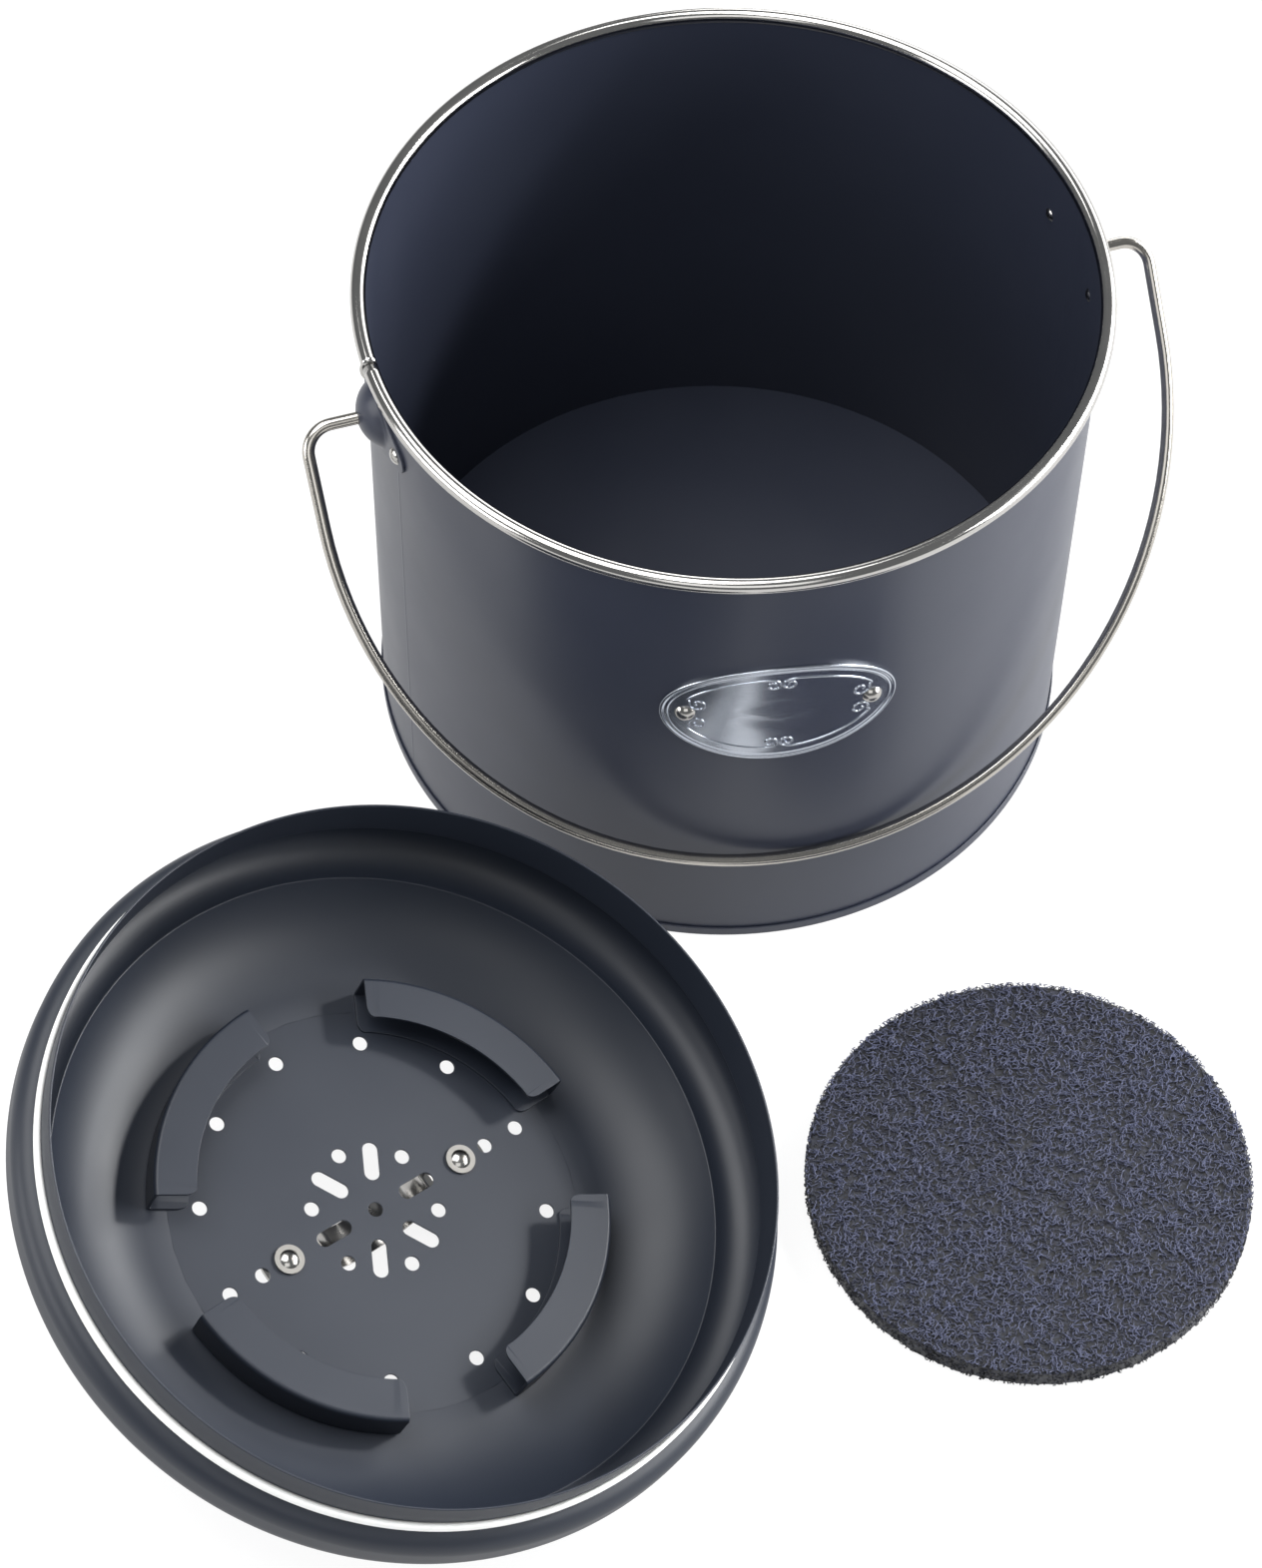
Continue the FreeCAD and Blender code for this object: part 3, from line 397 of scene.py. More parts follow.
# The stamped edge from outside in: the inset from the oval, and the height above the wall.
relief = [
    (0.0, 0.7), (0.1, 1.0), (0.3, 1.15), (0.6, 1.2), (0.9, 1.15), (1.15, 1.0), (1.35, 0.85),
    (1.6, PLATE_SHEET), (1.8, 0.83), (2.0, 0.98), (2.25, 1.05), (2.5, 0.98), (2.7, 0.84),
]
for ring in range(FIELD_RINGS + 1):
    relief.append((FIELD_INSET + ring * FIELD_RING_WIDTH, PLATE_SHEET))
for inset, out in relief:
    edges, points = draw_out(plate, edges)
    for point in points:
        angle = math.atan2(point.co.z / PLATE_HALF_HEIGHT, point.co.y / PLATE_HALF_LENGTH)
        share = min(inset / PLATE_HALF_HEIGHT, 1.0)
        closing = (PLATE_HALF_LENGTH - PLATE_HALF_HEIGHT) * share ** FIELD_CLOSING
        length = PLATE_HALF_LENGTH - inset - closing
        point.co = (out, length * math.cos(angle), (PLATE_HALF_HEIGHT - inset) * math.sin(angle))
bmesh.ops.holes_fill(plate, edges=edges)
bmesh.ops.triangulate(plate, faces=[face for face in plate.faces if len(face.verts) > 4])
wrap_on_wall(plate, plate_height, PLATE_TURN)
bmesh.ops.recalc_face_normals(plate, faces=plate.faces)

plate_steel, tree = start_material("brushed_plate_steel")
# Polished stainless sheet, faintly brushed along the plate: cool, clear reflections drawn out a little.
place = add_node(tree, "ShaderNodeTexCoord").outputs["Object"]
brush_mm = 0.35
brush_deep_mm = 0.02
stretched = add_node(tree, "ShaderNodeMapping", None, {"Vector": place, "Scale": (0.04, 0.04, 1)})
brush = add_node(
    tree, "ShaderNodeTexNoise", None,
    {"Vector": stretched.outputs[0], "Scale": 1 / (brush_mm * MM), "Detail": 3},
)
rough = add_node(
    tree, "ShaderNodeMapRange", None, {0: brush.outputs[0], 1: 0.3, 2: 0.7, 3: 0.17, 4: 0.24},
)
bump = add_node(
    tree, "ShaderNodeBump", None,
    {"Strength": 0.12, "Distance": brush_deep_mm * MM, "Height": brush.outputs[0]},
)
steel = add_node(tree, "ShaderNodeBsdfPrincipled", None, {
    "Base Color": linear("#C2C8D2"), "Metallic": 1.0, "Roughness": rough.outputs[0],
    "Normal": bump.outputs[0],
})
add_node(tree, "ShaderNodeOutputMaterial", None, {"Surface": steel.outputs[0]})
add_piece("nameplate_stamping", plate, plate_steel, "pail", ["nameplate"])


# Nameplate scrolls
# The raised border line of the stamping: four stretches that follow the oval inside its edge,
# each curled in beside a rivet and again at the middle, where it meets its neighbour.
LINE_INSET = 5.8
LINE_RADIUS = 0.46
LINE_BITE = 0.08
LINE_DEGREES = range(83, 19, -6)
CURL_STEPS = 16
CURL_SWEEP = math.radians(430)
CURL_EYE = 0.22
CURL_CLOSING = 1.7
MIDDLE_CURL_RADIUS = 2.4
MIDDLE_CURL_GAP = 0.3
MIDDLE_CURL_DROP = 0.6
MIDDLE_CURL_START = math.radians(125)
RIVET_CURL_RADIUS = 2.9
RIVET_CURL_INSET = 3.4
RIVET_CURL_RISE = 2.3
RIVET_CURL_START = math.radians(30)
line_length = PLATE_HALF_LENGTH - LINE_INSET
line_height = PLATE_HALF_HEIGHT - LINE_INSET


def curl(centre, radius, start, sweep):
    # A spiral that winds in from the line's end to a small eye.
    made = []
    for step in range(CURL_STEPS + 1):
        share = step / CURL_STEPS
        angle = start + sweep * share
        reach = radius * (1 - (1 - CURL_EYE) * share ** CURL_CLOSING)
        made.append((centre[0] + reach * math.cos(angle), centre[1] + reach * math.sin(angle)))
    return made


def add_curve(shape, curve, placing):
    # Makes a finished curve a mesh, puts it in its place and adds it to a bmesh.
    drawn = bpy.data.objects.new(curve.name, curve)
    bpy.context.scene.collection.objects.link(drawn)
    bpy.context.view_layer.update()
    mesh = bpy.data.meshes.new_from_object(drawn.evaluated_get(bpy.context.evaluated_depsgraph_get()))
    bpy.data.objects.remove(drawn)
    mesh.transform(placing)
    shape.from_mesh(mesh)
    bpy.data.meshes.remove(mesh)


middle_curl = (MIDDLE_CURL_RADIUS + MIDDLE_CURL_GAP, line_height - MIDDLE_CURL_RADIUS - MIDDLE_CURL_DROP)
rivet_curl = (line_length - RIVET_CURL_RADIUS - RIVET_CURL_INSET, RIVET_CURL_RADIUS + RIVET_CURL_RISE)
stretch = curl(middle_curl, MIDDLE_CURL_RADIUS, MIDDLE_CURL_START, CURL_SWEEP)[::-1]
for degrees in LINE_DEGREES:
    angle = math.radians(degrees)
    stretch.append((line_length * math.cos(angle), line_height * math.sin(angle)))
stretch += curl(rivet_curl, RIVET_CURL_RADIUS, RIVET_CURL_START, -CURL_SWEEP)

scroll_line = bpy.data.curves.new("nameplate_scroll_line", "CURVE")
scroll_line.dimensions = "3D"
scroll_line.bevel_depth = LINE_RADIUS
scroll_line.bevel_resolution = 2
scroll_line.use_fill_caps = True
scroll_line.resolution_u = 3
for along, up in ((1, 1), (1, -1), (-1, 1), (-1, -1)):
    line = scroll_line.splines.new("NURBS")
    line.points.add(len(stretch) - 1)
    for point, (reach, rise) in zip(line.points, stretch):
        point.co = (PLATE_SHEET - LINE_BITE, reach * along, rise * up, 1)
    line.order_u = 3
    line.use_endpoint_u = True
scrolls = bmesh.new()
add_curve(scrolls, scroll_line, Matrix.Identity(4))
wrap_on_wall(scrolls, plate_height, PLATE_TURN)
bmesh.ops.recalc_face_normals(scrolls, faces=scrolls.faces)
add_piece("nameplate_scrolls", scrolls, plate_steel, "pail")


# Nameplate rivets
# Two domed steel rivets that hold the plate to the wall.
refinish("nameplate_rivets", rivet_steel)


# Bail
# One length of drawn steel wire: an upset head inside each ear, a corner, a short straight shank and a half
# round. It is bright, slightly warm, and marked along its length by the drawing die.
wire_steel = stainless("drawn_steel_wire", "#BDB9B2", (0.15, 0.22), 0.9, 0.05)
refinish("bail_wire", wire_steel)


# Lid shell
# One steel pressing, shown underside up: a flat middle punched with vents and slots, a deep bowl, a tightly
# bent crease, a rolled edge and an upright skirt that goes inside the pail. The paint is a shade blacker.
LID_LEAN = math.radians(18.79)
LID_LEAN_TOWARD = math.radians(-38.35)
LID_SPIN = math.radians(20.8)
LID_REACH = 272.3
LID_BEARING = math.radians(-132.08)
LID_REST_GAP = 0.05
LID_SHEET = 0.8
LID_FLAT = 78.0
LID_CREASE = 111.9
LID_STEPS = 256
BOWL_INSIDE_SHORT = 2.5
BOWL_OUTSIDE_SHORT = 2.9
CREASE_HEIGHT = 19.0
CREASE_CENTRE = (111.36, 17.26)
CREASE_BEND = 0.5
CREASE_START = 142
CREASE_END = 74
ROLL_CENTRE = (115.2, 28.0)
ROLL_RADIUS = 11.7
ROLL_INSIDE_START = -109.7
ROLL_OUTSIDE_END = -108
SKIRT_RADIUS = 119.4
SEAT_HEIGHT = 40.2
SKIRT_BEND = 0.8
SKIRT_TOP = 57.0
FLAT_MARGIN = 8
FLAT_OVERLAP = 0.4
PUNCH_ROUND = 0.16
VENT_RADIUS = 2.5
HUB_COUNT = 6
HUB_SLOT_AT = 16.9
HUB_SLOT_REACH = 4.0
HUB_SLOT_RADIUS = 2.6
HUB_VENT_AT = 21.5
SIDE_VENT_AT = 45.8
OUTER_VENT_AT = 58.8
OUTER_COUNT = 12
lid_paint = powder_coat("black_powder_coat", "#1C212B", "#20252F", (0.42, 0.47))

bowl = ((LID_CREASE - LID_FLAT) ** 2 + CREASE_HEIGHT ** 2) / (2 * CREASE_HEIGHT)
lid_rest = LID_FLAT * math.sin(LID_LEAN) + bowl + LID_SHEET - bowl * math.cos(LID_LEAN) + LID_REST_GAP
lid_place = Vector((LID_REACH * math.cos(LID_BEARING), LID_REACH * math.sin(LID_BEARING), lid_rest)) * MM
lean_axis = Vector((-math.sin(LID_LEAN_TOWARD), math.cos(LID_LEAN_TOWARD), 0))
lid_pose = (
    Matrix.Translation(lid_place)
    @ Matrix.Rotation(LID_LEAN, 4, lean_axis)
    @ Matrix.Rotation(LID_SPIN, 4, "Z")
)
shoulder = ROLL_CENTRE[0] + ROLL_RADIUS - SKIRT_RADIUS - SKIRT_BEND
shoulder_at = (SKIRT_RADIUS + SKIRT_BEND, SEAT_HEIGHT - shoulder)
bend_at = (shoulder_at[0], SEAT_HEIGHT + SKIRT_BEND)
bowl_at = (LID_FLAT, bowl)
bowl_end = math.degrees(math.asin((LID_CREASE - LID_FLAT) / bowl)) - 90
edge_round = LID_SHEET / 2
edge_at = (SKIRT_RADIUS - edge_round, SKIRT_TOP - edge_round)
flat_edge = LID_FLAT - FLAT_MARGIN
# Inside and outside, the bowl stops a few degrees short of the crease, which leaves room for its bend.
outline = [(flat_edge - FLAT_OVERLAP, 0)]
outline += arc(bowl_at, bowl, -90, bowl_end - BOWL_INSIDE_SHORT, 20)
outline += arc(CREASE_CENTRE, CREASE_BEND, CREASE_START, CREASE_END, 5)
outline += arc(ROLL_CENTRE, ROLL_RADIUS - LID_SHEET, ROLL_INSIDE_START, 0, 23)
outline += arc(shoulder_at, shoulder - LID_SHEET, 0, 90, 10)
outline += arc(bend_at, SKIRT_BEND + LID_SHEET, -90, -180, 6)
outline += arc(edge_at, edge_round, 180, 0, 8)
outline += arc(bend_at, SKIRT_BEND, 180, 270, 6)
outline += arc(shoulder_at, shoulder, 90, 0, 10)
outline += arc(ROLL_CENTRE, ROLL_RADIUS, 0, ROLL_OUTSIDE_END, 22)
outline += arc(bowl_at, bowl + LID_SHEET, bowl_end - BOWL_OUTSIDE_SHORT, -90, 20)
outline += [(flat_edge - FLAT_OVERLAP, -LID_SHEET)]
lid = turned(outline, LID_STEPS)

punched = bpy.data.curves.new("lid_flat", "CURVE")
punched.dimensions = "2D"
punched.fill_mode = "BOTH"
punched.resolution_u = 10
punched.bevel_depth = PUNCH_ROUND
punched.bevel_resolution = 2
punched.extrude = LID_SHEET / 2 - PUNCH_ROUND


def add_outline(curve, corners, handles):
    # A closed spline through corner points, each with its handles before and after it.
    line = curve.splines.new("BEZIER")
    line.bezier_points.add(len(corners) - 1)
    for point, corner, (before, after) in zip(line.bezier_points, corners, handles):
        point.co = (*corner, 0)
        point.handle_left = (*before, 0)
        point.handle_right = (*after, 0)
    line.use_cyclic_u = True


def add_slot(curve, middle, turn, reach, radius):
    # A round hole, or with some reach a slot with round ends, turned to point along an angle.
    swing = 4 / 3 * math.tan(math.pi / 8) * radius
    along = Vector((math.cos(turn), math.sin(turn)))
    aside = Vector((-along.y, along.x))
    corners = []
    handles = []
    for sign in (1, -1):
        end = Vector(middle) + along * reach * sign
        flank = aside * radius * sign
        tip = along * radius * sign
        curve_in = along * swing * sign
        lift = aside * swing * sign
        straight = along * reach * sign if reach else curve_in
        corners += [end - flank, end + tip, end + flank]
        handles += [
            (end - flank - straight, end - flank + curve_in),
            (end + tip - lift, end + tip + lift),
            (end + flank + curve_in, end + flank - straight),
        ]
    if not reach:
        corners = [corners[0], corners[1], corners[2], corners[4]]
        handles = [handles[0], handles[1], handles[2], handles[4]]
    add_outline(curve, corners, handles)


def on_ring(radius, turn):
    # A place on a circle round the middle.
    return (radius * math.cos(turn), radius * math.sin(turn))


punch = VENT_RADIUS + PUNCH_ROUND
add_slot(punched, (0, 0), 0, 0, flat_edge - PUNCH_ROUND)
add_slot(punched, (0, 0), 0, 0, punch)
for step in range(HUB_COUNT):
    turn = step * FULL_TURN / HUB_COUNT
    add_slot(punched, on_ring(HUB_SLOT_AT, turn), turn, HUB_SLOT_REACH, HUB_SLOT_RADIUS + PUNCH_ROUND)
    between = turn + FULL_TURN / HUB_COUNT / 2
    add_slot(punched, on_ring(HUB_VENT_AT, between), 0, 0, punch)
for step in range(OUTER_COUNT):
    add_slot(punched, on_ring(OUTER_VENT_AT, step * FULL_TURN / OUTER_COUNT), 0, 0, punch)
for side in (1, -1):
    add_slot(punched, (SIDE_VENT_AT * side, 0), 0, 0, punch)
add_curve(lid, punched, Matrix.Translation((0, 0, -LID_SHEET / 2 * MM)) @ Matrix.Diagonal((MM, MM, MM, 1)))
bmesh.ops.remove_doubles(lid, verts=lid.verts, dist=WELD_WITHIN * MM)
bmesh.ops.transform(lid, matrix=lid_pose, verts=lid.verts)
add_piece("lid_pressing", lid, lid_paint, "lid", ["lid_shell"])


# Lid seal
# A ring of white silicone stretched round the root of the skirt. It comes down on the pail's rim.
SEAL_WIDTH = 1.6
SEAL_HIGH = 3.9
SEAL_ROUND = 0.6
SEAL_GRIP = 0.2

silicone, tree = start_material("white_silicone")
# Silicone rubber: smooth, softly glossy, a little light passes into it, with faint grey handling marks.
place = add_node(tree, "ShaderNodeTexCoord").outputs["Object"]
mark_mm = 12
marks = add_node(
    tree, "ShaderNodeTexNoise", None, {"Vector": place, "Scale": 1 / (mark_mm * MM), "Detail": 3},
)
tint = add_node(
    tree, "ShaderNodeMix", {"data_type": "RGBA"},
    {0: marks.outputs[0], 6: linear("#F4F4F2"), 7: linear("#EAEAE7")},
)
rubber = add_node(tree, "ShaderNodeBsdfPrincipled", None, {
    "Base Color": tint.outputs[2], "Roughness": 0.45, "IOR": 1.41,
    "Subsurface Weight": 0.15, "Subsurface Radius": (1 * MM, 1 * MM, 1 * MM),
})
add_node(tree, "ShaderNodeOutputMaterial", None, {"Surface": rubber.outputs[0]})

seal_outside = SKIRT_RADIUS + SEAL_WIDTH
seal_top = SEAT_HEIGHT + SKIRT_BEND + SEAL_HIGH
outline = [(SKIRT_RADIUS - SEAL_GRIP, SEAT_HEIGHT - SEAL_GRIP), (shoulder_at[0], SEAT_HEIGHT - SEAL_GRIP)]
outline += arc((seal_outside - SEAL_ROUND, SEAT_HEIGHT + SEAL_ROUND), SEAL_ROUND, -90, 0, 5)
outline += arc((seal_outside - SEAL_ROUND, seal_top - SEAL_ROUND), SEAL_ROUND, 0, 90, 5)
outline += [(SKIRT_RADIUS - SEAL_GRIP, seal_top)]
seal = turned(outline, LID_STEPS)
bmesh.ops.transform(seal, matrix=lid_pose, verts=seal.verts)
add_piece("seal_ring", seal, silicone, "lid", ["lid_seal"])


# Filter clips
# Four curved channels of bent sheet, spot welded to the flat of the lid and painted with it.
# Each has a foot, an upright wall and a lip, open towards the middle, where the filter slides in.
CLIP_INSIDE = 62.7
CLIP_OUTSIDE = 76.7
CLIP_HIGH = 13.7
CLIP_SHEET = 1.0
CLIP_BEND = 1.5
CLIP_CORNER = 4.0
CLIP_SPAN = math.radians(58)
CLIP_TURN = math.radians(31.6)
CLIP_COUNT = 4
CLIP_STEPS = 28
CLIP_EDGE_ROUND = 0.18
CUT_EDGE = math.radians(50)
NEARLY = 0.01
NEARLY_TURN = 0.001
fold = CLIP_BEND - CLIP_SHEET
outer_fold = CLIP_OUTSIDE - CLIP_BEND
outline = [(CLIP_INSIDE, CLIP_SHEET), (CLIP_INSIDE, 0)]
outline += arc((outer_fold, CLIP_BEND), CLIP_BEND, -90, 0, 5)
outline += arc((outer_fold, CLIP_HIGH - CLIP_BEND), CLIP_BEND, 0, 90, 5)
outline += [(CLIP_INSIDE, CLIP_HIGH), (CLIP_INSIDE, CLIP_HIGH - CLIP_SHEET)]
outline += arc((outer_fold, CLIP_HIGH - CLIP_BEND), fold, 90, 0, 3)
outline += arc((outer_fold, CLIP_BEND), fold, 0, -90, 3)
for index in range(CLIP_COUNT):
    clip = turned(outline, CLIP_STEPS, CLIP_SPAN)
    corners = []
    for edge in clip.edges:
        one, two = (vert.co / MM for vert in edge.verts)
        angle = math.atan2(one.y, one.x)
        inside = max(one.xy.length, two.xy.length) < CLIP_INSIDE + NEARLY
        upright = abs(one.z - two.z) > CLIP_SHEET / 2 and (one.xy - two.xy).length < NEARLY
        end = min(abs(angle), abs(angle - CLIP_SPAN)) < NEARLY_TURN
        if inside and upright and end:
            corners.append(edge)
    bmesh.ops.bevel(
        clip, geom=corners, offset=CLIP_CORNER * MM, segments=7, profile=0.5, affect="EDGES", material=-1,
        clamp_overlap=False,
    )
    sharp = [edge for edge in clip.edges if edge.is_manifold and edge.calc_face_angle() > CUT_EDGE]
    bmesh.ops.bevel(
        clip, geom=sharp, offset=CLIP_EDGE_ROUND * MM, segments=2, profile=0.5, affect="EDGES", material=-1,
        clamp_overlap=True,
    )
    spin = CLIP_TURN - CLIP_SPAN / 2 + index * FULL_TURN / CLIP_COUNT
    bmesh.ops.transform(clip, matrix=lid_pose @ Matrix.Rotation(spin, 4, "Z"), verts=clip.verts)
    name = f"filter_clip_{index + 1}"
    add_piece(f"{name}_channel", clip, lid_paint, "lid", [name])


# Lid handle, washers and rivets
# A bent strap of polished steel on the lid's top face, below it here, held by two blind rivets.
# A flat washer lies under each rivet head on the underside.
refinish("lid_handle", polished_steel)
washer_steel = stainless("plain_washer_steel", "#8E8C88", (0.42, 0.5), 0.5, 0.15)
refinish("lid_handle_washers", washer_steel)
refinish("lid_handle_rivets", rivet_steel)


# Filter pad
# A round pad of carbon-loaded fibre, matted and die cut. It is springy, dark blue-grey and open,
# with loose fibres standing out all round its cut edge.
pad_low, pad_high = (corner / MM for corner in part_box("charcoal_filter"))
PAD_RADIUS = (pad_high.x - pad_low.x) / 2
PAD_HIGH = pad_high.z
PAD_STEPS = 160
CORE_LOW = 0.1
CORE_ROUND = 1.0
CORE_RADIUS = PAD_RADIUS - 0.5
CORE_HIGH = PAD_HIGH - 1.4
CORE_RINGS = 14
TUFT_MM = 2.2
LUMP_MM = 9
TOP_LUMP = 0.15
EDGE_LUMP = 0.6
EDGE_LUMP_KEENNESS = 12
FIBRE_RADIUS = 0.18
FIBRE_POINTS = 5
FIBRE_SWAY = 1.3
FIBRE_TOP = PAD_HIGH - 0.3
TOP_FIBRES = 13000
TOP_FIBRE_LENGTH = (1.8, 4)
TOP_FIBRE_LIFT = 0.3
TOP_FIBRE_REACH = CORE_RADIUS - 0.5
EDGE_FIBRES = 5000
EDGE_FIBRE_LENGTH = (0.8, 2.2)
EDGE_FIBRE_LIFT = 0.4
EDGE_FIBRE_LOW = 0.4
EDGE_FIBRE_ROOT = (0.1, 0.8)
EDGE_FIBRE_FAN = 1.8
pad_middle = (pad_high + pad_low) / 2
pad_middle.z = 0
chance = random.Random(7)

felt, tree = start_material("carbon_fibre_felt")
# Matted polyester fibre loaded with carbon: matt, dark blue-grey, each strand a little lighter or darker,
# with painted shade that darkens a strand the deeper it lies in the pad.
place = add_node(tree, "ShaderNodeTexCoord").outputs["Object"]
strand_mm = 0.9
cloud_mm = 30
lit_from_mm = CORE_HIGH + 0.1
lit_to_mm = PAD_HIGH - 0.2
strands = add_node(
    tree, "ShaderNodeTexNoise", None, {"Vector": place, "Scale": 1 / (strand_mm * MM), "Detail": 3},
)
clouds = add_node(
    tree, "ShaderNodeTexNoise", None, {"Vector": place, "Scale": 1 / (cloud_mm * MM), "Detail": 2},
)
tone = add_node(
    tree, "ShaderNodeMapRange", None, {0: strands.outputs[0], 1: 0.42, 2: 0.66, 3: 0.0, 4: 1.0},
)
height = add_node(tree, "ShaderNodeSeparateXYZ", None, {0: place})
# Painted shade: by height alone, the fibres run from dark low in the pad to lighter near its top.
painted_depth_shade = add_node(
    tree, "ShaderNodeMapRange", None,
    {0: height.outputs[2], 1: lit_from_mm * MM, 2: lit_to_mm * MM, 3: 0.0, 4: 0.75},
)
shade = add_node(
    tree, "ShaderNodeMath", {"operation": "MULTIPLY_ADD"},
    {0: tone.outputs[0], 1: 0.25, 2: painted_depth_shade.outputs[0]},
)
fibre_colour = add_node(
    tree, "ShaderNodeMix", {"data_type": "RGBA"},
    {0: shade.outputs[0], 6: linear("#05060B"), 7: linear("#4C526F")},
)
worn_colour = add_node(
    tree, "ShaderNodeMix", {"data_type": "RGBA", "blend_type": "MULTIPLY"},
    {0: clouds.outputs[0], 6: fibre_colour.outputs[2], 7: linear("#E0DCD8")},
)
fibre = add_node(tree, "ShaderNodeBsdfPrincipled", None, {
    "Base Color": worn_colour.outputs[2], "Roughness": 0.55, "Specular IOR Level": 0.4,
    "Sheen Weight": 0.08, "Sheen Roughness": 0.5,
})
add_node(tree, "ShaderNodeOutputMaterial", None, {"Surface": fibre.outputs[0]})

core_flat = CORE_RADIUS - CORE_ROUND
outline = [(0, CORE_LOW)] + arc((core_flat, CORE_LOW + CORE_ROUND), CORE_ROUND, -90, 0, 3)
outline += arc((core_flat, CORE_HIGH - CORE_ROUND), CORE_ROUND, 0, 90, 6)
outline += [(core_flat * ring / CORE_RINGS, CORE_HIGH) for ring in range(CORE_RINGS - 1, -1, -1)]
pad = turned(outline, PAD_STEPS)
for vert in pad.verts:
    uneven = (noise.noise(vert.co / (TUFT_MM * MM)) + noise.noise(vert.co / (LUMP_MM * MM))) / 2
    outward = Vector((vert.co.x, vert.co.y, 0)).normalized()
    near_edge = min(vert.co.xy.length / (CORE_RADIUS * MM), 1) ** EDGE_LUMP_KEENNESS
    upward = Vector((0, 0, TOP_LUMP if vert.co.z > CORE_ROUND * MM else 0))
    vert.co += (upward + outward * near_edge * EDGE_LUMP) * uneven * MM

matting = bpy.data.curves.new("filter_fibres", "CURVE")
matting.dimensions = "3D"
matting.bevel_depth = FIBRE_RADIUS
matting.bevel_resolution = 0
matting.resolution_u = 1


def add_fibre(start, heading, length, lift):
    # One bent fibre, from a start point along a wandering heading, kept inside the pad's outline.
    line = matting.splines.new("POLY")
    line.points.add(FIBRE_POINTS - 1)
    stride = length / (FIBRE_POINTS - 1)
    at = Vector(start)
    for point in line.points:
        point.co = (*at, 1)
        heading += chance.uniform(-FIBRE_SWAY, FIBRE_SWAY)
        at += Vector((math.cos(heading) * stride, math.sin(heading) * stride, chance.uniform(-lift, lift)))
        at.z = min(max(at.z, FIBRE_RADIUS), PAD_HIGH - FIBRE_RADIUS)
        reach = at.xy.length
        if reach > PAD_RADIUS:
            at.xy *= PAD_RADIUS / reach


for index in range(TOP_FIBRES):
    reach = TOP_FIBRE_REACH * math.sqrt(chance.random())
    turn = chance.uniform(0, FULL_TURN)
    start = (*on_ring(reach, turn), chance.uniform(CORE_HIGH, FIBRE_TOP))
    heading = chance.uniform(0, FULL_TURN)
    add_fibre(start, heading, chance.uniform(*TOP_FIBRE_LENGTH), TOP_FIBRE_LIFT)
for index in range(EDGE_FIBRES):
    turn = chance.uniform(0, FULL_TURN)
    reach = CORE_RADIUS - chance.uniform(*EDGE_FIBRE_ROOT)
    start = (*on_ring(reach, turn), chance.uniform(EDGE_FIBRE_LOW, FIBRE_TOP))
    heading = turn + chance.uniform(-EDGE_FIBRE_FAN, EDGE_FIBRE_FAN)
    add_fibre(start, heading, chance.uniform(*EDGE_FIBRE_LENGTH), EDGE_FIBRE_LIFT)
add_curve(pad, matting, Matrix.Diagonal((MM, MM, MM, 1)))
bmesh.ops.translate(pad, verts=pad.verts, vec=pad_middle * MM)
filter_pad = add_piece("filter_pad", pad, felt, "filter", ["charcoal_filter"])


# Floor
# A pale paper sheet that runs out past the frame. The camera sees it as white, with a soft shadow,
# and polished steel mirrors it a little dimmer.
FLOOR_RADIUS = 6
FLOOR_SIDES = 64
floor_shape = bmesh.new()
bmesh.ops.create_circle(floor_shape, cap_ends=True, radius=FLOOR_RADIUS, segments=FLOOR_SIDES)
floor_mesh = bpy.data.meshes.new("floor")
floor_shape.to_mesh(floor_mesh)
floor_shape.free()
floor = bpy.data.objects.new("floor", floor_mesh)
bpy.context.scene.collection.objects.link(floor)
white_sheet, tree = start_material("white_sheet")
path = add_node(tree, "ShaderNodeLightPath")
seen_glow = add_node(
    tree, "ShaderNodeMath", {"operation": "MULTIPLY"}, {0: path.outputs["Is Camera Ray"], 1: 0.87},
)
mirrored_glow = add_node(
    tree, "ShaderNodeMath", {"operation": "MULTIPLY"}, {0: path.outputs["Is Glossy Ray"], 1: 0.72},
)
glow = add_node(
    tree, "ShaderNodeMath", {"operation": "MAXIMUM"},
    {0: seen_glow.outputs[0], 1: mirrored_glow.outputs[0]},
)
shown = add_node(tree, "ShaderNodeMath", {"operation": "GREATER_THAN"}, {0: glow.outputs[0], 1: 0.5})
white_glow = add_node(tree, "ShaderNodeEmission", None, {"Strength": glow.outputs[0]})
paper = add_node(
    tree, "ShaderNodeMix", {"data_type": "RGBA"},
    {0: shown.outputs[0], 6: linear("#E8E8E8"), 7: linear("#707070")},
)
shadow_catch = add_node(tree, "ShaderNodeBsdfDiffuse", None, {"Color": paper.outputs[2]})
sheet = add_node(tree, "ShaderNodeAddShader", None, {0: white_glow.outputs[0], 1: shadow_catch.outputs[0]})
add_node(tree, "ShaderNodeOutputMaterial", None, {"Surface": sheet.outputs[0]})
floor_mesh.materials.append(white_sheet)


# Light
# A pale studio dome, which reflections see as a dim room and the camera as white paper. A small key lamp
# stands high on the right, with softboxes overhead and low on the right, and weak ones on the other sides.
DOME_TINT = (0.94, 0.97, 1.0, 1)
PAPER_TINT = (1, 1, 1, 1)
table_middle = Vector((-40, -150, 60)) * MM
world = bpy.data.worlds.new("studio")
bpy.context.scene.world = world
world.use_nodes = True
tree = world.node_tree
tree.nodes.clear()
path = add_node(tree, "ShaderNodeLightPath")
dome_light = add_node(tree, "ShaderNodeBackground", None, {"Color": DOME_TINT, "Strength": 0.58})
dim_room = add_node(tree, "ShaderNodeBackground", None, {"Color": DOME_TINT, "Strength": 0.2})
white_paper = add_node(tree, "ShaderNodeBackground", None, {"Color": PAPER_TINT, "Strength": 1.0})
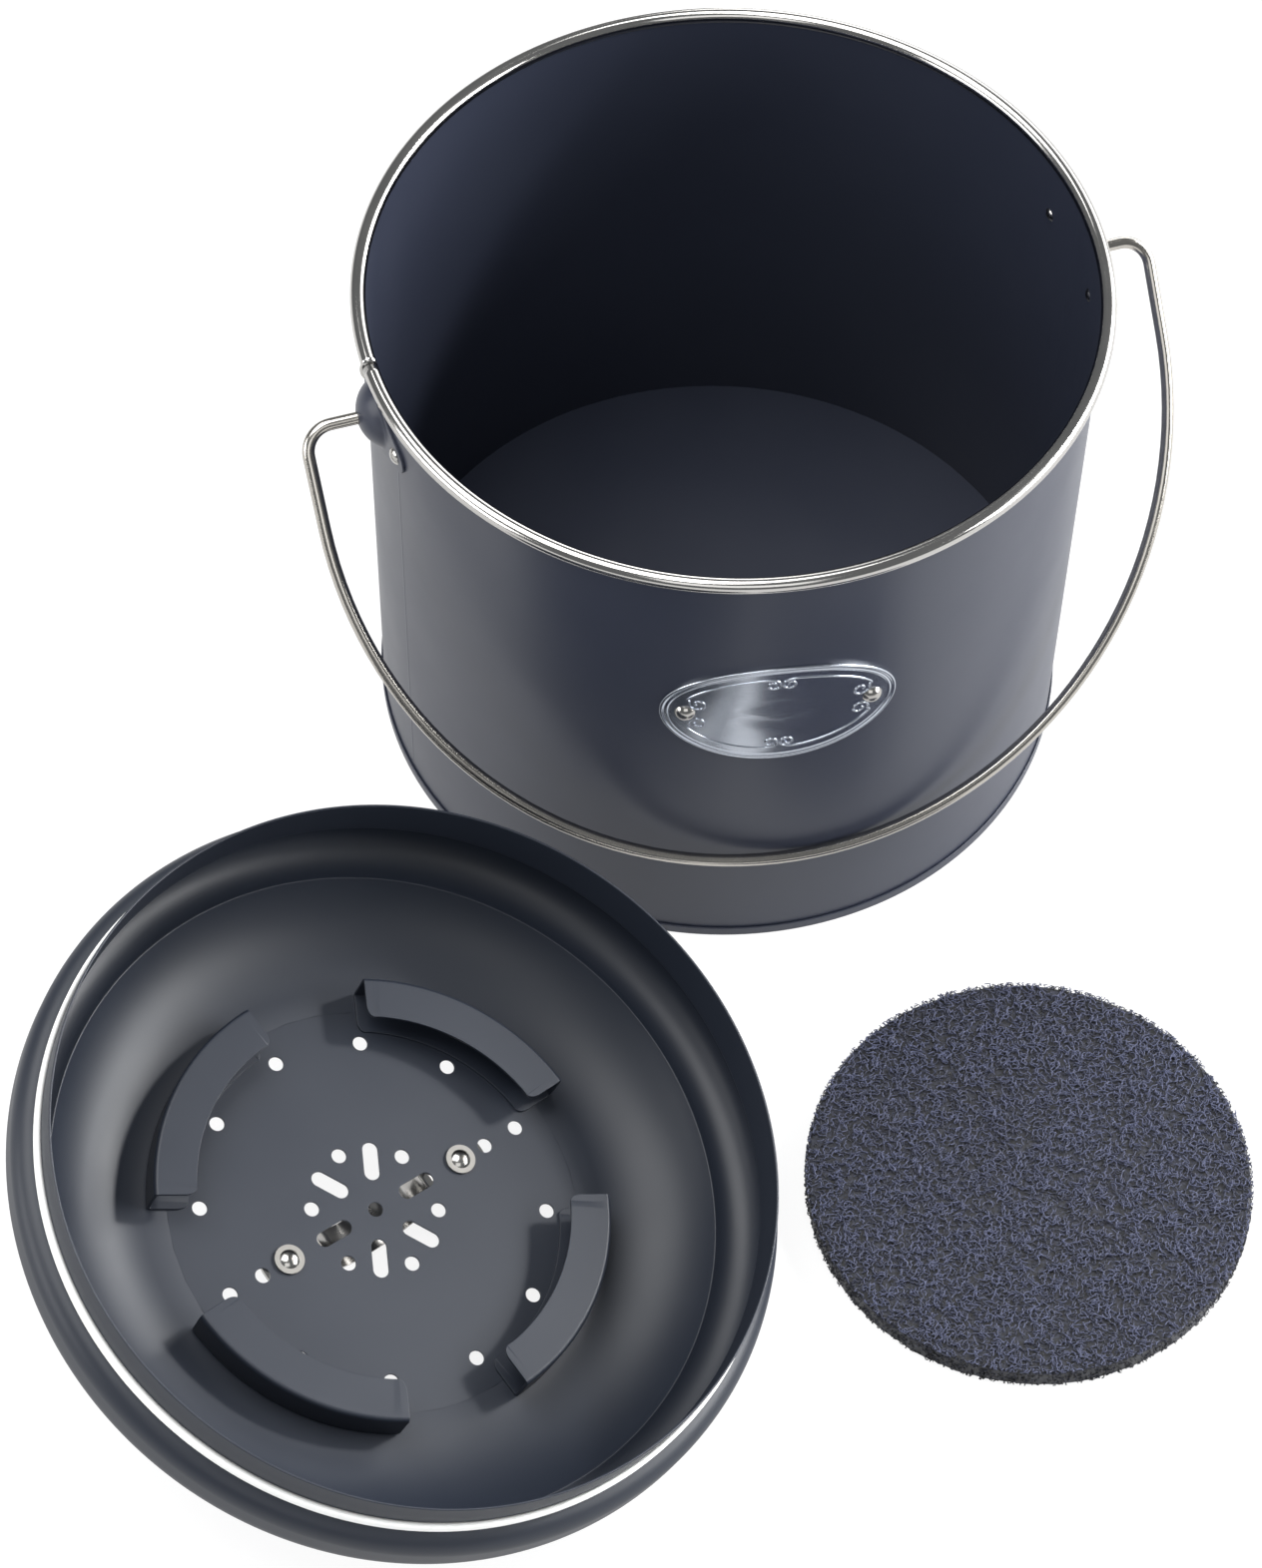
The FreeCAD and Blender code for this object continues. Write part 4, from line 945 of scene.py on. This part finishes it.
studio = add_node(
    tree, "ShaderNodeMixShader", None,
    {0: path.outputs["Is Glossy Ray"], 1: dome_light.outputs[0], 2: dim_room.outputs[0]},
)
backdrop = add_node(
    tree, "ShaderNodeMixShader", None,
    {0: path.outputs["Is Camera Ray"], 1: studio.outputs[0], 2: white_paper.outputs[0]},
)
add_node(tree, "ShaderNodeOutputWorld", None, {"Surface": backdrop.outputs[0]})


def softbox(name, toward, distance, width, height, watts):
    # A flat lamp, so far from the middle of the table and facing it, with its sizes in metres.
    lamp = bpy.data.lights.new(name, "AREA")
    lamp.shape = "RECTANGLE"
    lamp.size = width
    lamp.size_y = height
    lamp.energy = watts
    made = bpy.data.objects.new(name, lamp)
    bpy.context.scene.collection.objects.link(made)
    away = Vector(toward).normalized()
    made.location = table_middle + away * distance
    made.rotation_euler = away.to_track_quat("Z", "Y").to_euler()


softbox("key_lamp", (0.82, 0.02, 0.58), 2.2, 0.22, 0.22, 28)
softbox("overhead_softbox", (-0.22, 0.2, 0.95), 2.2, 1.8, 1.8, 50)
softbox("right_softbox", (0.93, -0.08, 0.37), 1.8, 2.2, 0.9, 70)
softbox("left_softbox", (-0.9, 0.1, 0.35), 1.8, 1.2, 0.8, 13)
softbox("back_softbox", (0.62, 0.68, 0.4), 1.8, 1.6, 0.8, 12)
softbox("front_softbox", (-0.2, -0.72, 0.7), 2.2, 1.4, 1.0, 6)


# Camera
# A long lens high in front on the left, looking down on the pail, with the photograph's framing.
IMAGE_HEIGHT = 1571
FOCAL_PIXELS = 4411
SENSOR_HEIGHT = 36
SIGHT_END = 20
CAMERA_AT = (-322.4, -894.0, 1290.6)
HEADING = math.radians(18)
PITCH = math.radians(55.37)
ROLL = math.radians(1.07)
lens = bpy.data.cameras.new("camera")
lens.sensor_fit = "VERTICAL"
lens.sensor_height = SENSOR_HEIGHT
lens.lens = SENSOR_HEIGHT * FOCAL_PIXELS / IMAGE_HEIGHT
lens.clip_end = SIGHT_END
camera = bpy.data.objects.new("camera", lens)
bpy.context.scene.collection.objects.link(camera)
ahead = Vector((math.sin(HEADING) * math.cos(PITCH), math.cos(HEADING) * math.cos(PITCH), -math.sin(PITCH)))
level = Vector((math.cos(HEADING), -math.sin(HEADING), 0))
right = Matrix.Rotation(-ROLL, 3, ahead) @ level
facing = Matrix((right, right.cross(ahead), -ahead)).transposed().to_4x4()
camera.matrix_world = Matrix.Translation(Vector(CAMERA_AT) * MM) @ facing
bpy.context.scene.camera = camera
bpy.context.scene.view_settings.view_transform = "Standard"
